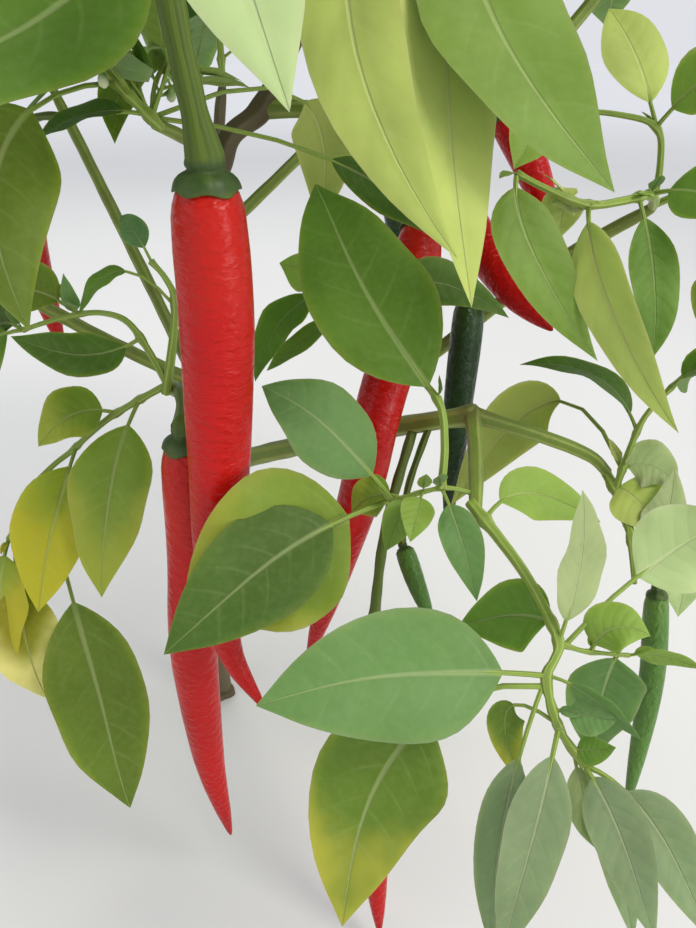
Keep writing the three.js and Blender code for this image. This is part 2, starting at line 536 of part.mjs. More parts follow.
const podSpaces = [];
for (const [name, path, radius, ripe, stalkPath, stalkRadius] of PODS) {
  const fine = smooth(path, 4);
  const line = POD_SHAPE.map(([t]) => along(fine, t));
  const radii = POD_SHAPE.map(([, share]) => radius * share);
  const radiusAt = (t) => radii[Math.round(t * (radii.length - 1))];
  const pod = bar(line, radiusAt, POD_SIDES);
  const podSpace = bar(line, radiusAt, POD_SIDES, CLEARANCE);

  // The stalk widens to a cap that sits over the pod's shoulder.
  const [way] = headings(fine);
  const rim = line[0].clone().addScaledVector(way, radius * CALYX_DEPTH);
  const top = line[0].clone().addScaledVector(way, -CALYX_HEIGHT);
  const neck = line[0].clone().addScaledVector(way, -radius * COLLAR_HEIGHT);
  const stalkLine = [...smooth([...stalkPath, neck], 2), top, rim];
  const count = stalkLine.length;
  const widths = [radius * CALYX_RIM + CALYX_WALL, radius * CALYX_TOP + CALYX_WALL,
    stalkRadius * COLLAR_WIDTH];
  const stalkAt = (t) => {
    const back = count - 1 - Math.round(t * (count - 1));
    return back < 3 ? widths[back] : stalkRadius;
  };
  const stalk = largest(bar(stalkLine, stalkAt, STALK_SIDES).subtract(limbSpace).subtract(podSpace));
  add(`pod_${name}`, pod, ripe ? COLOURS.ripe : COLOURS.unripe);
  add(`stalk_${name}`, stalk, COLOURS.stalk);
  podSpaces.push(podSpace, bar(stalkLine, stalkAt, STALK_SIDES, CLEARANCE));
}

// Whether a solid stays clear of all the spaces.
function clearOf(solid, spaces) {
  const a = solid.boundingBox();
  return spaces.every((space) => {
    const b = space.box;
    if ([0, 1, 2].some((k) => a.min[k] > b.max[k] || b.min[k] > a.max[k])) return true;
    return solid.intersect(space.solid).isEmpty();
  });
}

const boxed = (solid) => ({ solid, box: solid.boundingBox() });
const limbBoxes = limbSpaces.map(boxed);
const taken = podSpaces.map(boxed);

// One mass of foliage. A twig or a leaf that would meet another piece is left out, with all it bears.
function foliage(name, twigs, placed, grown) {
  const lines = [];
  const solids = [];
  for (const line of twigs) {
    const radius = taper(...(line === twigs[0] ? TWIG_RADII : SHOOT_RADII));
    const held = !lines.length || nearestOn(lines, line[0]).distanceTo(line[0]) < HELD_WITHIN;
    if (!held || !clearOf(bar(line, radius, TWIG_SIDES, CLEARANCE), taken)) continue;
    lines.push(line);
    solids.push(bar(line, radius, TWIG_SIDES));
  }
  const own = solids.map(boxed);
  for (const leaf of [...placed, ...grown]) {
    if (!lines.length || nearestOn(lines, leaf.from).distanceTo(leaf.from) > HELD_WITHIN) continue;
    const blade = leaf.space();
    const inCrown = grown.includes(leaf);
    const whole = inCrown ? leaf.plain(CLEARANCE) : leaf.whole(CLEARANCE);
    if (!clearOf(whole, taken) || !clearOf(blade, limbBoxes)) continue;
    if (inCrown && !clearOf(blade, own)) continue;
    solids.push(inCrown ? leaf.plain() : leaf.whole());
    own.push(boxed(blade));
  }
  const mass = largest(Manifold.union(solids).subtract(limbSpace).simplify(JOINT_FUZZ));
  add(name, mass, COLOURS.leaf);
  taken.push(boxed(mass));
}

for (const [name, paths, rows] of SPRAYS) {
  const lines = [];
  for (const path of paths) {
    const start = lines.length ? nearestOn(lines, point(path[0])) : path[0];
    lines.push(smooth([start, ...path.slice(1)], 2));
  }
  foliage(name, lines, placedLeaves(rows, lines), []);
}

for (const [name, root, middle, radii, seed, rows] of CROWN) {
  const growth = new Growth(point(middle), point(radii), seed);
  const start = point(root);
  const way = growth.middle.clone().sub(start).normalize();
  growth.shoots.push([start]);
  growth.twig(growth.shoots[0], way, growth.middle.distanceTo(start) * FIRST_LENGTH, 0);
  foliage(name, growth.shoots, placedLeaves(rows, growth.shoots), growth.leaves);
}

export default group;
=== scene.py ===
"""The looks of a chilli pepper plant in full fruit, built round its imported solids.

Sizes in the tables are millimetres, as in the plant's own drawing, and every finished piece is in
metres, Z up, with the origin on the stem's flat cut foot and the plant's front towards -Y. Each limb,
pod and fruit stalk gets a finely made skin of its own. Each mass of foliage grows again by the same
seeded rule as its solid, with real leaf blades, and then goes on to young shoots and flower buds.
"""

import logging
import math
from collections.abc import Callable, Sequence
from dataclasses import dataclass, field
from enum import Enum
from functools import cache

import bmesh
import bpy
import numpy as np
from bpy.types import Material, Mesh, Node, NodeSocket, Object
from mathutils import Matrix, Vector
from mathutils.bvhtree import BVHTree

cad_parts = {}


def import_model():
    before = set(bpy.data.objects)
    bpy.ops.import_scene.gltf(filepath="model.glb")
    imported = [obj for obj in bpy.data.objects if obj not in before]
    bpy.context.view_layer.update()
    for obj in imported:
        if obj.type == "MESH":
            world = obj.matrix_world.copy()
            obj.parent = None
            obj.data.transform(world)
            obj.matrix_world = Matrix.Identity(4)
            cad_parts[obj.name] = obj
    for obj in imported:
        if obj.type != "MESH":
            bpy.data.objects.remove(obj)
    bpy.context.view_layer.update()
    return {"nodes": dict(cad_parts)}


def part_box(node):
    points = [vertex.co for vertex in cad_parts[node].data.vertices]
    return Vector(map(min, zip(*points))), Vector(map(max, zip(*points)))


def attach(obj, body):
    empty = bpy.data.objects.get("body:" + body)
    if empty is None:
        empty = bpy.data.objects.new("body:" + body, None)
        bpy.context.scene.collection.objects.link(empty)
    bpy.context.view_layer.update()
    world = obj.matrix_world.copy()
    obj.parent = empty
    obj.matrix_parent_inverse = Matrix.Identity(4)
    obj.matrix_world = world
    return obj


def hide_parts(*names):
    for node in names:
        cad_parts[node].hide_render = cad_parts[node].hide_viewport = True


LOG = logging.getLogger("chilli_plant")
MM = 0.001
TINY = 1e-12
STEEP = 0.9
SKIN_WELD = 2e-7
COURSE_STEPS = 10
BODY = "root"
UP = np.array([0.0, 0.0, 1.0])
SIDEWAYS = np.array([1.0, 0.0, 0.0])

Array = np.ndarray
Point = tuple[float, float, float]
Colour = tuple[float, float, float]


class Tint(Enum):
    """The leaf colours: greens from deep shade on, leaves that turn yellow, and a milky young green. The
    deep and blue-green shade tints are partly painted shade, for leaves that lie in shade, and the bright
    and pale tints are partly painted light, for sunlit and back-lit leaves.
    """

    DEEP = 0
    SHADE = 1
    GREEN = 2
    MEADOW = 3
    GREY = 4
    OLIVE = 5
    FRESH = 6
    BRIGHT = 7
    PALE = 8
    SILVER = 9
    SALLOW = 10
    TURNING = 11
    TIPPED = 12
    YELLOWING = 13
    YELLOW = 14
    MILKY = 15


class Age(Enum):
    """How far a limb has turned from green to wood."""

    GREEN = 0
    WOODY = 1


class Ripeness(Enum):
    """The stages of the pods."""

    RIPE = "ripe_pod"
    DARK = "unripe_pod"
    LIGHT = "young_pod"


@dataclass(frozen=True)
class Placed:
    """A leaf that is placed one by one, in millimetres.

    `bend` is how far its middle is off the straight line, and `stalk` is its stalk's share of the
    whole length.
    """

    root: Point
    tip: Point
    wide: float
    stalk: float
    roll: float
    bend: Point
    tint: Tint


@dataclass(frozen=True)
class Spray:
    """Foliage placed twig by twig and leaf by leaf."""

    name: str
    twigs: tuple[tuple[Point, ...], ...]
    leaves: tuple[Placed, ...]


@dataclass(frozen=True)
class Mass:
    """Foliage grown by rule in an egg-shaped space."""

    name: str
    root: Point
    middle: Point
    radii: Point
    seed: int
    leaves: tuple[Placed, ...] = ()


def unit(way: Array) -> Array:
    """Scales each vector along the last axis to length 1.

    Args:
        way: One vector, or an array of them.

    Returns:
        The same shape, with each vector of length 1.
    """
    length = np.linalg.norm(way, axis=-1, keepdims=True)
    return way / np.maximum(length, TINY)


def spun(way: Array, axis: Array, angle: float) -> Array:
    """Turns a vector about an axis.

    Args:
        way: The vector.
        axis: The axis, of length 1.
        angle: How far, in radians.

    Returns:
        The turned vector.
    """
    cos, sin = math.cos(angle), math.sin(angle)
    return way * cos + np.cross(axis, way) * sin + axis * (axis @ way) * (1 - cos)


def beside(way: Array) -> Array:
    """Gives a direction square to a way, level unless the way is steep."""
    return unit(np.cross(SIDEWAYS if abs(way[2]) > STEEP else UP, way))


def turned(way: Array, angle: float, turn: float) -> Array:
    """Leans a way over.

    Args:
        way: Where it points at first, of length 1.
        angle: How far it leans, in radians.
        turn: The compass direction of the lean, around the way itself.

    Returns:
        The leaning way, of length 1.
    """
    side = spun(beside(way), way, turn)
    return unit(way * math.cos(angle) + side * math.sin(angle))


def smooth(points: Sequence[Sequence[float]], steps: int) -> Array:
    """Draws a smooth line through points.

    Args:
        points: The points that it passes through.
        steps: Pieces between two neighbouring points.

    Returns:
        The points of the finer line, one row each.
    """
    given = np.array(points, float)
    ends = np.vstack([2 * given[0] - given[1], given, 2 * given[-1] - given[-2]])
    line = [given[0]]
    for i in range(len(given) - 1):
        for k in range(1, steps + 1):
            t = k / steps
            weights = np.array([
                (-t + 2 * t * t - t**3) / 2,
                (2 - 5 * t * t + 3 * t**3) / 2,
                (t + 4 * t * t - 3 * t**3) / 2,
                (t**3 - t * t) / 2,
            ])
            line.append(weights @ ends[i : i + 4])
    return np.array(line)


def name_number(name: str) -> int:
    """Gives a name a number, so that waves differ from piece to piece."""
    return sum(map(ord, name))


def row_value(rows: Array, v: Array) -> Array:
    """Reads a table with one entry for each row of a skin's corners.

    Args:
        rows: A number or a place for each row.
        v: Shares of the way from the first row to the last.

    Returns:
        The table's values there.
    """
    last, at = len(rows) - 1, np.arange(len(rows))
    if rows.ndim == 1:
        return np.interp(v * last, at, rows)
    return np.stack([np.interp(v * last, at, rows[:, k]) for k in range(rows.shape[1])], -1)


def ring_places(centre: Array, side: Array, across: Array, radius: Array, angle: Array) -> Array:
    """Places points round a centre line.

    Args:
        centre: The line's place for each point.
        side: The direction in which the angle is nothing.
        across: The direction a quarter turn on.
        radius: How far out each point lies.
        angle: How far round it lies, in radians.

    Returns:
        The points.
    """
    return centre + side * (radius * np.cos(angle))[:, None] + across * (radius * np.sin(angle))[:, None]


def toned(colour: Colour, other: Colour, share: float) -> Colour:
    """Mixes two colours.

    Args:
        colour: The first.
        other: The second.
        share: How much of the second.

    Returns:
        The mixture.
    """
    red, green, blue = (a + (b - a) * share for a, b in zip(colour, other))
    return red, green, blue


def nearest_on(lines: Sequence[Array], near: Array) -> Array:
    """Finds the place on any of the lines that is nearest to a point.

    Args:
        lines: Lines of points.
        near: The point.

    Returns:
        The nearest place.
    """
    best, least = lines[0][0], math.inf
    for line in lines:
        a, run = line[:-1], np.diff(line, axis=0)
        share = np.einsum("ij,ij->i", near - a, run) / np.maximum(np.einsum("ij,ij->i", run, run), TINY)
        places = a + run * np.clip(share, 0, 1)[:, None]
        away = np.linalg.norm(places - near, axis=1)
        if away.min() < least:
            least = float(away.min())
            best = places[int(away.argmin())]
    return best


BLADE_LENGTHS = (0, 0.02, 0.05, 0.09, 0.14, 0.2, 0.27, 0.35, 0.43, 0.51,
                 0.59, 0.66, 0.73, 0.79, 0.84, 0.885, 0.92, 0.95, 0.975, 1)
BLADE_WIDTHS = (0, 0.14, 0.3, 0.49, 0.67, 0.83, 0.94, 0.995, 1, 0.96,
                0.885, 0.795, 0.68, 0.56, 0.445, 0.325, 0.225, 0.14, 0.07, 0)


def blade_width(t: Array) -> Array:
    """Gives the width of a leaf blade.

    Args:
        t: Shares of the blade's length.

    Returns:
        Shares of its greatest width.
    """
    return np.interp(t, BLADE_LENGTHS, BLADE_WIDTHS)


class Chance:
    """Evenly likely numbers, the same ones each time for the same seed."""

    SEED_STEP = 7919
    STEP = 48271
    SPAN = 2147483647

    def __init__(self, seed: int) -> None:
        """Starts the row of numbers."""
        self.state = seed * self.SEED_STEP

    def between(self, low: float, high: float) -> float:
        """Gives the next number, from low to high."""
        self.state = (self.state * self.STEP) % self.SPAN
        return low + ((high - low) * self.state) / self.SPAN

    def pick(self, choices: Sequence[Tint], weights: Sequence[float]) -> Tint:
        """Picks a leaf colour.

        Args:
            choices: The colours.
            weights: How likely each one is.

        Returns:
            One of the colours.
        """
        left = self.between(0, sum(weights))
        for choice, weight in zip(choices, weights, strict=True):
            left -= weight
            if left <= 0:
                return choice
        return choices[-1]


class Course:
    """A centre line with its length, its way and a steady pair of cross directions."""

    def __init__(self, points: Array) -> None:
        """Measures a line.

        Args:
            points: The points of the line, one row each.
        """
        self.points = np.asarray(points, float)
        steps = np.linalg.norm(np.diff(self.points, axis=0), axis=1)
        self.reach = np.concatenate([[0.0], np.cumsum(steps)])
        self.length = float(self.reach[-1])
        ahead = np.vstack([self.points[1:], self.points[-1:]])
        behind = np.vstack([self.points[:1], self.points[:-1]])
        self.ways = unit(ahead - behind)
        side, sides = beside(self.ways[0]), []
        for way in self.ways:
            side = unit(side - way * (side @ way))
            sides.append(side)
        self.sides = np.array(sides)

    def at(self, distance: Array) -> tuple[Array, Array, Array, Array]:
        """Gives places on the line, and past its ends straight on.

        Args:
            distance: Distances from its start.

        Returns:
            The places, the ways, and the two cross directions.
        """
        def read(rows: Array) -> Array:
            """Reads rows between the line's points."""
            return np.stack([np.interp(distance, self.reach, rows[:, k]) for k in range(3)], -1)

        ways = unit(read(self.ways))
        sides = read(self.sides)
        sides = unit(sides - ways * np.sum(sides * ways, -1, keepdims=True))
        past = distance - np.clip(distance, 0, self.length)
        return read(self.points) + ways * past[..., None], ways, sides, np.cross(ways, sides)

    def distance_of(self, place: Array) -> tuple[float, float]:
        """Finds where a place lies along the line.

        Args:
            place: The place.

        Returns:
            The distance from the start, and how far off the line the place is.
        """
        fine = np.linspace(0, self.length, max(int(self.length), 8))
        away = np.linalg.norm(self.at(fine)[0] - place, axis=1)
        return float(fine[int(away.argmin())]), float(away.min())


class Signal:
    """A number that runs through a material's nodes, written as sums."""

    def __init__(self, board: "Board", socket: NodeSocket) -> None:
        """Wraps a socket of a board."""
        self.board = board
        self.socket = socket

    def _maths(self, operation: str, *values: "Signal | float") -> "Signal":
        """Adds one Math node.

        Args:
            operation: What it does.
            values: Its inputs, in order.

        Returns:
            Its result.
        """
        return self.board.node("ShaderNodeMath", {"operation": operation}, dict(enumerate(values))).signal()

    def __add__(self, other: "Signal | float") -> "Signal":
        """Adds."""
        return self._maths("ADD", self, other)

    def __radd__(self, other: float) -> "Signal":
        """Adds, from the right."""
        return self._maths("ADD", other, self)

    def __sub__(self, other: "Signal | float") -> "Signal":
        """Takes away."""
        return self._maths("SUBTRACT", self, other)

    def __rsub__(self, other: float) -> "Signal":
        """Is taken away from a number."""
        return self._maths("SUBTRACT", other, self)

    def __mul__(self, other: "Signal | float") -> "Signal":
        """Multiplies."""
        return self._maths("MULTIPLY", self, other)

    def __rmul__(self, other: float) -> "Signal":
        """Multiplies, from the right."""
        return self._maths("MULTIPLY", other, self)

    def __truediv__(self, other: "Signal | float") -> "Signal":
        """Divides."""
        return self._maths("DIVIDE", self, other)

    def __rtruediv__(self, other: float) -> "Signal":
        """Divides a number."""
        return self._maths("DIVIDE", other, self)

    def __abs__(self) -> "Signal":
        """Drops the sign."""
        return self._maths("ABSOLUTE", self)

    def wave(self) -> "Signal":
        """Gives the cosine."""
        return self._maths("COSINE", self)

    def swing(self) -> "Signal":
        """Gives the sine."""
        return self._maths("SINE", self)

    def folded(self) -> "Signal":
        """Gives 0 at each whole number and 1 half-way between two of them."""
        return self._maths("PINGPONG", self * 2.0, 1.0)

    def eased(self, low: float, high: float) -> "Signal":
        """Runs softly from 0 at low to 1 at high.

        Args:
            low: Where it leaves 0.
            high: Where it reaches 1.

        Returns:
            The eased number.
        """
        settings = {"interpolation_type": "SMOOTHSTEP"}
        inputs = {"Value": self, "From Min": low, "From Max": high}
        return self.board.node("ShaderNodeMapRange", settings, inputs).signal()


class Placement:
    """One node on a board."""

    def __init__(self, board: "Board", node: Node) -> None:
        """Wraps a node."""
        self.board = board
        self.node = node

    def signal(self, name: str | int = 0) -> Signal:
        """Gives one of its outputs as a number."""
        return Signal(self.board, self.node.outputs[name])

    def socket(self, name: str | int = 0) -> NodeSocket:
        """Gives one of its outputs as it is."""
        return self.node.outputs[name]


class Board:
    """The nodes of one material."""

    def __init__(self, name: str) -> None:
        """Starts a material with no nodes.

        Args:
            name: The material's name.
        """
        self.material = bpy.data.materials.new(name)
        self.material.use_nodes = True
        self.tree = self.material.node_tree
        self.tree.nodes.clear()

    def node(self, kind: str, settings: dict[str, object] | None = None,
             inputs: dict[str | int, object] | None = None) -> Placement:
        """Adds a node, with its settings made first.

        Args:
            kind: The node's type.
            settings: Its properties.
            inputs: Its sockets' values or links, by name or number.

        Returns:
            The node.
        """
        made = self.tree.nodes.new(kind)
        for name, value in (settings or {}).items():
            setattr(made, name, value)
        for name, value in (inputs or {}).items():
            socket = self._input(made, name)
            if isinstance(value, Signal):
                self.tree.links.new(value.socket, socket)
            elif isinstance(value, NodeSocket):
                self.tree.links.new(value, socket)
            elif isinstance(value, tuple) and len(value) == 3 and socket.type == "RGBA":
                socket.default_value = (*value, 1.0)
            else:
                socket.default_value = value
        return Placement(self, made)

    @staticmethod
    def _input(node: Node, name: str | int) -> NodeSocket:
        """Finds an input by number, by name or by its longer name.

        Args:
            node: The node.
            name: The number or name.

        Returns:
            The socket.
        """
        if isinstance(name, int):
            return node.inputs[name]
        for socket in node.inputs:
            if socket.identifier == name:
                return socket
        return node.inputs[name]

    def mixed(self, share: Signal | float, low: object, high: object) -> NodeSocket:
        """Mixes two colours.

        Args:
            share: How much of the second one there is.
            low: The first colour, or a link to one.
            high: The second colour, or a link to one.

        Returns:
            The mixed colour's socket.
        """
        inputs = {"Factor_Float": share, "A_Color": low, "B_Color": high}
        made = self.node("ShaderNodeMix", {"data_type": "RGBA", "clamp_factor": True}, inputs)
        return next(s for s in made.node.outputs if s.identifier == "Result_Color")

    def place(self) -> NodeSocket:
        """Gives the place on the piece, in metres."""
        return self.node("ShaderNodeTexCoord").socket("Object")

    def skin(self) -> tuple[Signal, Signal]:
        """Gives the two numbers of the piece's own map of its skin."""
        parts = self.node("ShaderNodeSeparateXYZ", {}, {0: self.node("ShaderNodeUVMap").socket()})
        return parts.signal("X"), parts.signal("Y")

    def mark(self, name: str) -> Signal:
        """Gives a number that the mesh carries at its corners."""
        return self.node("ShaderNodeAttribute", {"attribute_name": name}).signal("Fac")

    def noise(self, place: object, scale: float, detail: float = 2.0) -> Signal:
        """Adds cloudy noise.

        Args:
            place: The link that says where.
            scale: Clouds to a metre, or to a unit of the place.
            detail: How many finer layers it has.

        Returns:
            The noise, round about a half.
        """
        inputs = {"Vector": place, "Scale": scale, "Detail": detail}
        return self.node("ShaderNodeTexNoise", {}, inputs).signal("Fac")

    def finish(self, colour: object, bump: Signal | None, depth: float, **sockets: object) -> Material:
        """Adds the shader and ends the material.

        Args:
            colour: The base colour or a link to it.
            bump: The height of the relief, from 0 to 1.
            depth: How deep the relief is, in metres.
            sockets: The shader's other sockets, with _ for each space.

        Returns:
            The material.
        """
        inputs: dict[str | int, object] = {"Base Color": colour}
        inputs |= {name.replace("_", " "): value for name, value in sockets.items()}
        if bump is not None:
            relief = self.node("ShaderNodeBump", {}, {"Height": bump, "Distance": depth, "Strength": 1.0})
            inputs["Normal"] = relief.socket("Normal")
        shader = self.node("ShaderNodeBsdfPrincipled", {}, inputs)
        self.node("ShaderNodeOutputMaterial", {}, {"Surface": shader.socket("BSDF")})
        return self.material


BLACK: Colour = (0.0, 0.0, 0.0)
BLADE_GLOW: Colour = (0.5, 1.0, 0.18)
STEM_GLOW: Colour = (0.6, 1.0, 0.3)
POD_GLOW: Colour = (1.0, 0.2, 0.1)


@dataclass(frozen=True)
class LeafFinish:
    """A leaf blade: pale ribs that curve to the edge, a fine net between them, and cloudy colour."""

    name: str
    blade: Colour
    ageing: float = 0.0
    aged: Colour = (0.55, 0.48, 0.04)
    roughness: float = 0.52
    see_through: float = 0.2
    rib_pairs: float = 7.0
    veined: float = 0.14
    pale: Colour = (0.58, 0.66, 0.32)
    paled: float = 0.34
    dimmed: float = 0.72
    cloud_scale: float = 34.0
    wander_scale: float = 70.0
    net_scale: float = 520.0
    relief: float = 0.0007

    def material(self) -> Material:
        """Makes the material.

        Returns:
            The material.
        """
        board = Board(self.name)
        pale_rib = toned(self.blade, self.pale, self.paled)
        dim = toned(self.blade, BLACK, 1.0 - self.dimmed)
        across, along = board.skin()
        across = (across - 0.5) * 2.0
        off = abs(across)
        place = board.place()
        wander = board.noise(place, self.wander_scale)
        fine = board.noise(place, self.net_scale, 3.0)
        # The side ribs leave the midrib by turns and curve forward to the edge.
        midrib = 1.0 - (off / (1.15 - along)).eased(0.015, 0.075)
        run = along - off * 0.13 - off * off * 0.12 + wander * 0.035
        side = across.eased(-0.001, 0.001) * 0.45
        between = (run * self.rib_pairs + side).folded()
        rib = (1.0 - between.eased(0.02, 0.20)) * (1.0 - off.eased(0.35, 0.85))
        rib = rib * (1.0 - along.eased(0.72, 0.95)) * wander.eased(0.25, 0.6)
        cloud = board.noise(place, self.cloud_scale, 3.0).eased(0.3, 0.7)
        colour = board.mixed(cloud * 0.75, self.blade, dim)
        if self.ageing:
            tip = (along + wander * 0.5 + off * 0.25).eased(0.95 - self.ageing, 1.3 - self.ageing)
            colour = board.mixed(tip, colour, self.aged)
        colour = board.mixed(fine.eased(0.35, 0.75) * 0.10, colour, pale_rib)
        colour = board.mixed(rib * self.veined, colour, pale_rib)
        colour = board.mixed(midrib * 0.75, colour, pale_rib)
        height = 0.4 + between.eased(0.0, 0.8) * (1.0 - off * 0.7) * 0.13 - midrib * 0.26 + wander * 0.12
        height = height + fine * 0.03
        rough = self.roughness + cloud * 0.10
        return board.finish(
            colour, height, self.relief, Roughness=rough, Specular_IOR_Level=0.26,
            Subsurface_Weight=self.see_through, Subsurface_Radius=BLADE_GLOW, Subsurface_Scale=0.0012)


@dataclass(frozen=True)
class StemFinish:
    """A green stem with pale ribs, browned at its knots, and on old wood browned all over."""

    name: str
    green: Colour
    rib: Colour
    brown: Colour
    browned: float
    ribs: int = 5
    roughness: float = 0.5
    streak_scale: float = 210.0
    fine_scale: float = 900.0
    patch_scale: float = 75.0
    relief: float = 0.0005

    def material(self) -> Material:
        """Makes the material.

        Returns:
            The material.
        """
        board = Board(self.name)
        around, _ = board.skin()
        place = board.place()
        streak = board.noise(place, self.streak_scale, 3.0)
        fine = board.noise(place, self.fine_scale)
        turn = around * (math.tau * self.ribs)
        rib = (turn + streak * 1.2).wave().eased(-0.2, 1.0)
        colour = board.mixed(rib * 0.6, self.green, self.rib)
        patch = board.noise(place, self.patch_scale, 4.0)
        wood = (patch * 0.9 + fine * 0.25 + self.browned - 0.55).eased(0.0, 0.45)
        colour = board.mixed(wood * min(1.0, 0.35 + self.browned), colour, self.brown)
        knot = board.mark("knot")
        colour = board.mixed(knot * (0.35 + 0.3 * self.browned), colour, self.brown)
        height = 0.45 + rib * 0.25 + streak * 0.25 + fine * 0.12
        return board.finish(
            colour, height, self.relief, Roughness=self.roughness + fine * 0.12, Specular_IOR_Level=0.45,
            Subsurface_Weight=0.08, Subsurface_Radius=STEM_GLOW, Subsurface_Scale=0.001)


@dataclass(frozen=True)
class PodFinish:
    """A glossy pod skin with fine wrinkles across it."""

    name: str
    skin: Colour
    deep: Colour
    warm: Colour
    roughness: float = 0.30
    wrinkle_scale: float = 520.0
    wrinkle_girth: float = 2.2
    cloud_scale: float = 38.0
    pore_scale: float = 1500.0
    relief: float = 0.0003

    def material(self) -> Material:
        """Makes the material.

        Returns:
            The material.
        """
        board = Board(self.name)
        around, along = board.skin()
        turn = around * math.tau
        length = board.mark("along")
        place = board.place()
        ring = board.node("ShaderNodeCombineXYZ", {}, {
            "X": turn.wave() * self.wrinkle_girth, "Y": turn.swing() * self.wrinkle_girth,
            "Z": length * self.wrinkle_scale})
        wrinkle = board.noise(ring.socket(), 1.0).eased(0.35, 0.72)
        cloud = board.noise(place, self.cloud_scale).eased(0.3, 0.7)
        pores = board.noise(place, self.pore_scale, 1.0)
        colour = board.mixed(cloud * 0.45, self.skin, self.deep)
        colour = board.mixed(along.eased(0.86, 1.0) * 0.4, colour, self.deep)
        colour = board.mixed((1.0 - along.eased(0.10, 0.22)) * 0.35, colour, self.warm)
        height = wrinkle * 0.9 + pores * 0.04 + cloud * 1.1
        return board.finish(
            colour, height, self.relief, Roughness=self.roughness + wrinkle * 0.05,
            Specular_IOR_Level=0.26, Coat_Weight=0.04, Coat_Roughness=0.12,
            Subsurface_Weight=0.05, Subsurface_Radius=POD_GLOW, Subsurface_Scale=0.0015)


@dataclass(frozen=True)
class StalkFinish:
    """A fruit stalk: ribbed green that turns to the deeper green of the cap."""

    name: str
    stalk: Colour
    rib: Colour
    cap: Colour
    cap_start: float
    ribs: int = 6
    streak_scale: float = 260.0
    mottle_scale: float = 300.0
    relief: float = 0.0005

    def material(self) -> Material:
        """Makes the material.

        Returns:
            The material.
        """
        board = Board(self.name)
        around, _ = board.skin()
        along = board.mark("cap")
        place = board.place()
        streak = board.noise(place, self.streak_scale, 3.0)
        rib = (around * (math.tau * self.ribs) + streak * 1.5).wave().eased(-0.1, 1.0)
        colour = board.mixed(rib * 0.5, self.stalk, self.rib)
        cap = along.eased(self.cap_start, self.cap_start + 0.05)
        mottle = board.noise(place, self.mottle_scale, 3.0).eased(0.4, 0.75)
        capped = board.mixed(mottle * 0.35, self.cap, self.rib)
        capped = board.mixed(along.eased(0.84, 0.90) * 0.18, capped, self.rib)
        colour = board.mixed(cap, colour, capped)
        height = 0.4 + rib * 0.25 + streak * 0.3
        return board.finish(
            colour, height, self.relief, Roughness=0.45 + streak * 0.12, Specular_IOR_Level=0.36,
            Subsurface_Weight=0.08, Subsurface_Radius=STEM_GLOW, Subsurface_Scale=0.001)


@dataclass(frozen=True)
class BudFinish:
    """A flower bud: a pale green ball with a paler tip."""

    name: str = "flower_bud"
    green: Colour = (0.24, 0.40, 0.10)
    pale: Colour = (0.62, 0.68, 0.42)
    cloud_scale: float = 900.0
    relief: float = 0.0001

    def material(self) -> Material:
        """Makes the material.

        Returns:
            The material.
        """
        board = Board(self.name)
        _, along = board.skin()
        cloud = board.noise(board.place(), self.cloud_scale)
        colour = board.mixed((along + cloud * 0.2).eased(0.55, 0.8), self.green, self.pale)
        return board.finish(colour, cloud, self.relief, Roughness=0.45 + cloud * 0.1,
                            Specular_IOR_Level=0.4)


@dataclass(frozen=True)
class FloorFinish:
    """A plain pale floor that takes on the sky's brightness far off, so that no edge shows."""

    name: str = "pale_floor"
    pale: Colour = (0.74, 0.735, 0.72)
    dim: Colour = (0.70, 0.695, 0.68)
    glow: Colour = (0.200, 0.207, 0.230)
    fades: tuple[float, float] = (0.6, 5.0)
    cloud_scale: float = 3.0

    def material(self) -> Material:
        """Makes the material.

        Returns:
            The material.
        """
        board = Board(self.name)
        place = board.place()
        cloud = board.noise(place, self.cloud_scale)
        away = board.node("ShaderNodeVectorMath", {"operation": "LENGTH"}, {0: place}).signal("Value")
        glow = board.mixed(away.eased(*self.fades), BLACK, self.glow)
        return board.finish(board.mixed(cloud, self.pale, self.dim), None, 0.0, Roughness=0.75,
                            Specular_IOR_Level=0.3, Emission_Color=glow, Emission_Strength=1.0)


# The deep and blue-green finishes are partly painted shade, and the bright and pale ones are partly painted
# sunlight and back light. The other finishes are the leaves' own colours.
LEAF_FINISHES = {
    Tint.DEEP: LeafFinish("leaf_deep_green_painted_shade", (0.070, 0.132, 0.014)),
    Tint.SHADE: LeafFinish("leaf_blue_green_painted_shade", (0.075, 0.155, 0.050)),
    Tint.GREEN: LeafFinish("leaf_green", (0.108, 0.205, 0.018)),
    Tint.MEADOW: LeafFinish("leaf_meadow_green", (0.160, 0.255, 0.034)),
    Tint.GREY: LeafFinish("leaf_grey_green", (0.120, 0.225, 0.062)),
    Tint.OLIVE: LeafFinish("leaf_olive", (0.125, 0.175, 0.014)),
    Tint.FRESH: LeafFinish("leaf_fresh_green", (0.235, 0.350, 0.052)),
    Tint.BRIGHT: LeafFinish("leaf_bright_green_painted_light", (0.430, 0.510, 0.120)),
    Tint.PALE: LeafFinish("leaf_pale_green_painted_light", (0.410, 0.520, 0.230)),
    Tint.SILVER: LeafFinish("leaf_silver_green", (0.205, 0.270, 0.135)),
    Tint.SALLOW: LeafFinish("leaf_sallow", (0.390, 0.430, 0.110)),
    Tint.MILKY: LeafFinish("leaf_milky_green", (0.325, 0.390, 0.170)),
    Tint.TURNING: LeafFinish(
        "leaf_turning", (0.190, 0.270, 0.024), ageing=0.20, aged=(0.28, 0.31, 0.03)),
    Tint.TIPPED: LeafFinish(
        "leaf_tipped", (0.105, 0.165, 0.014), ageing=0.08, aged=(0.32, 0.31, 0.03)),
    Tint.YELLOWING: LeafFinish(
        "leaf_yellowing", (0.270, 0.330, 0.014), ageing=0.45, aged=(0.42, 0.38, 0.015)),
    Tint.YELLOW: LeafFinish(
        "leaf_yellow", (0.235, 0.215, 0.004), ageing=0.30, aged=(0.68, 0.62, 0.20)),
}
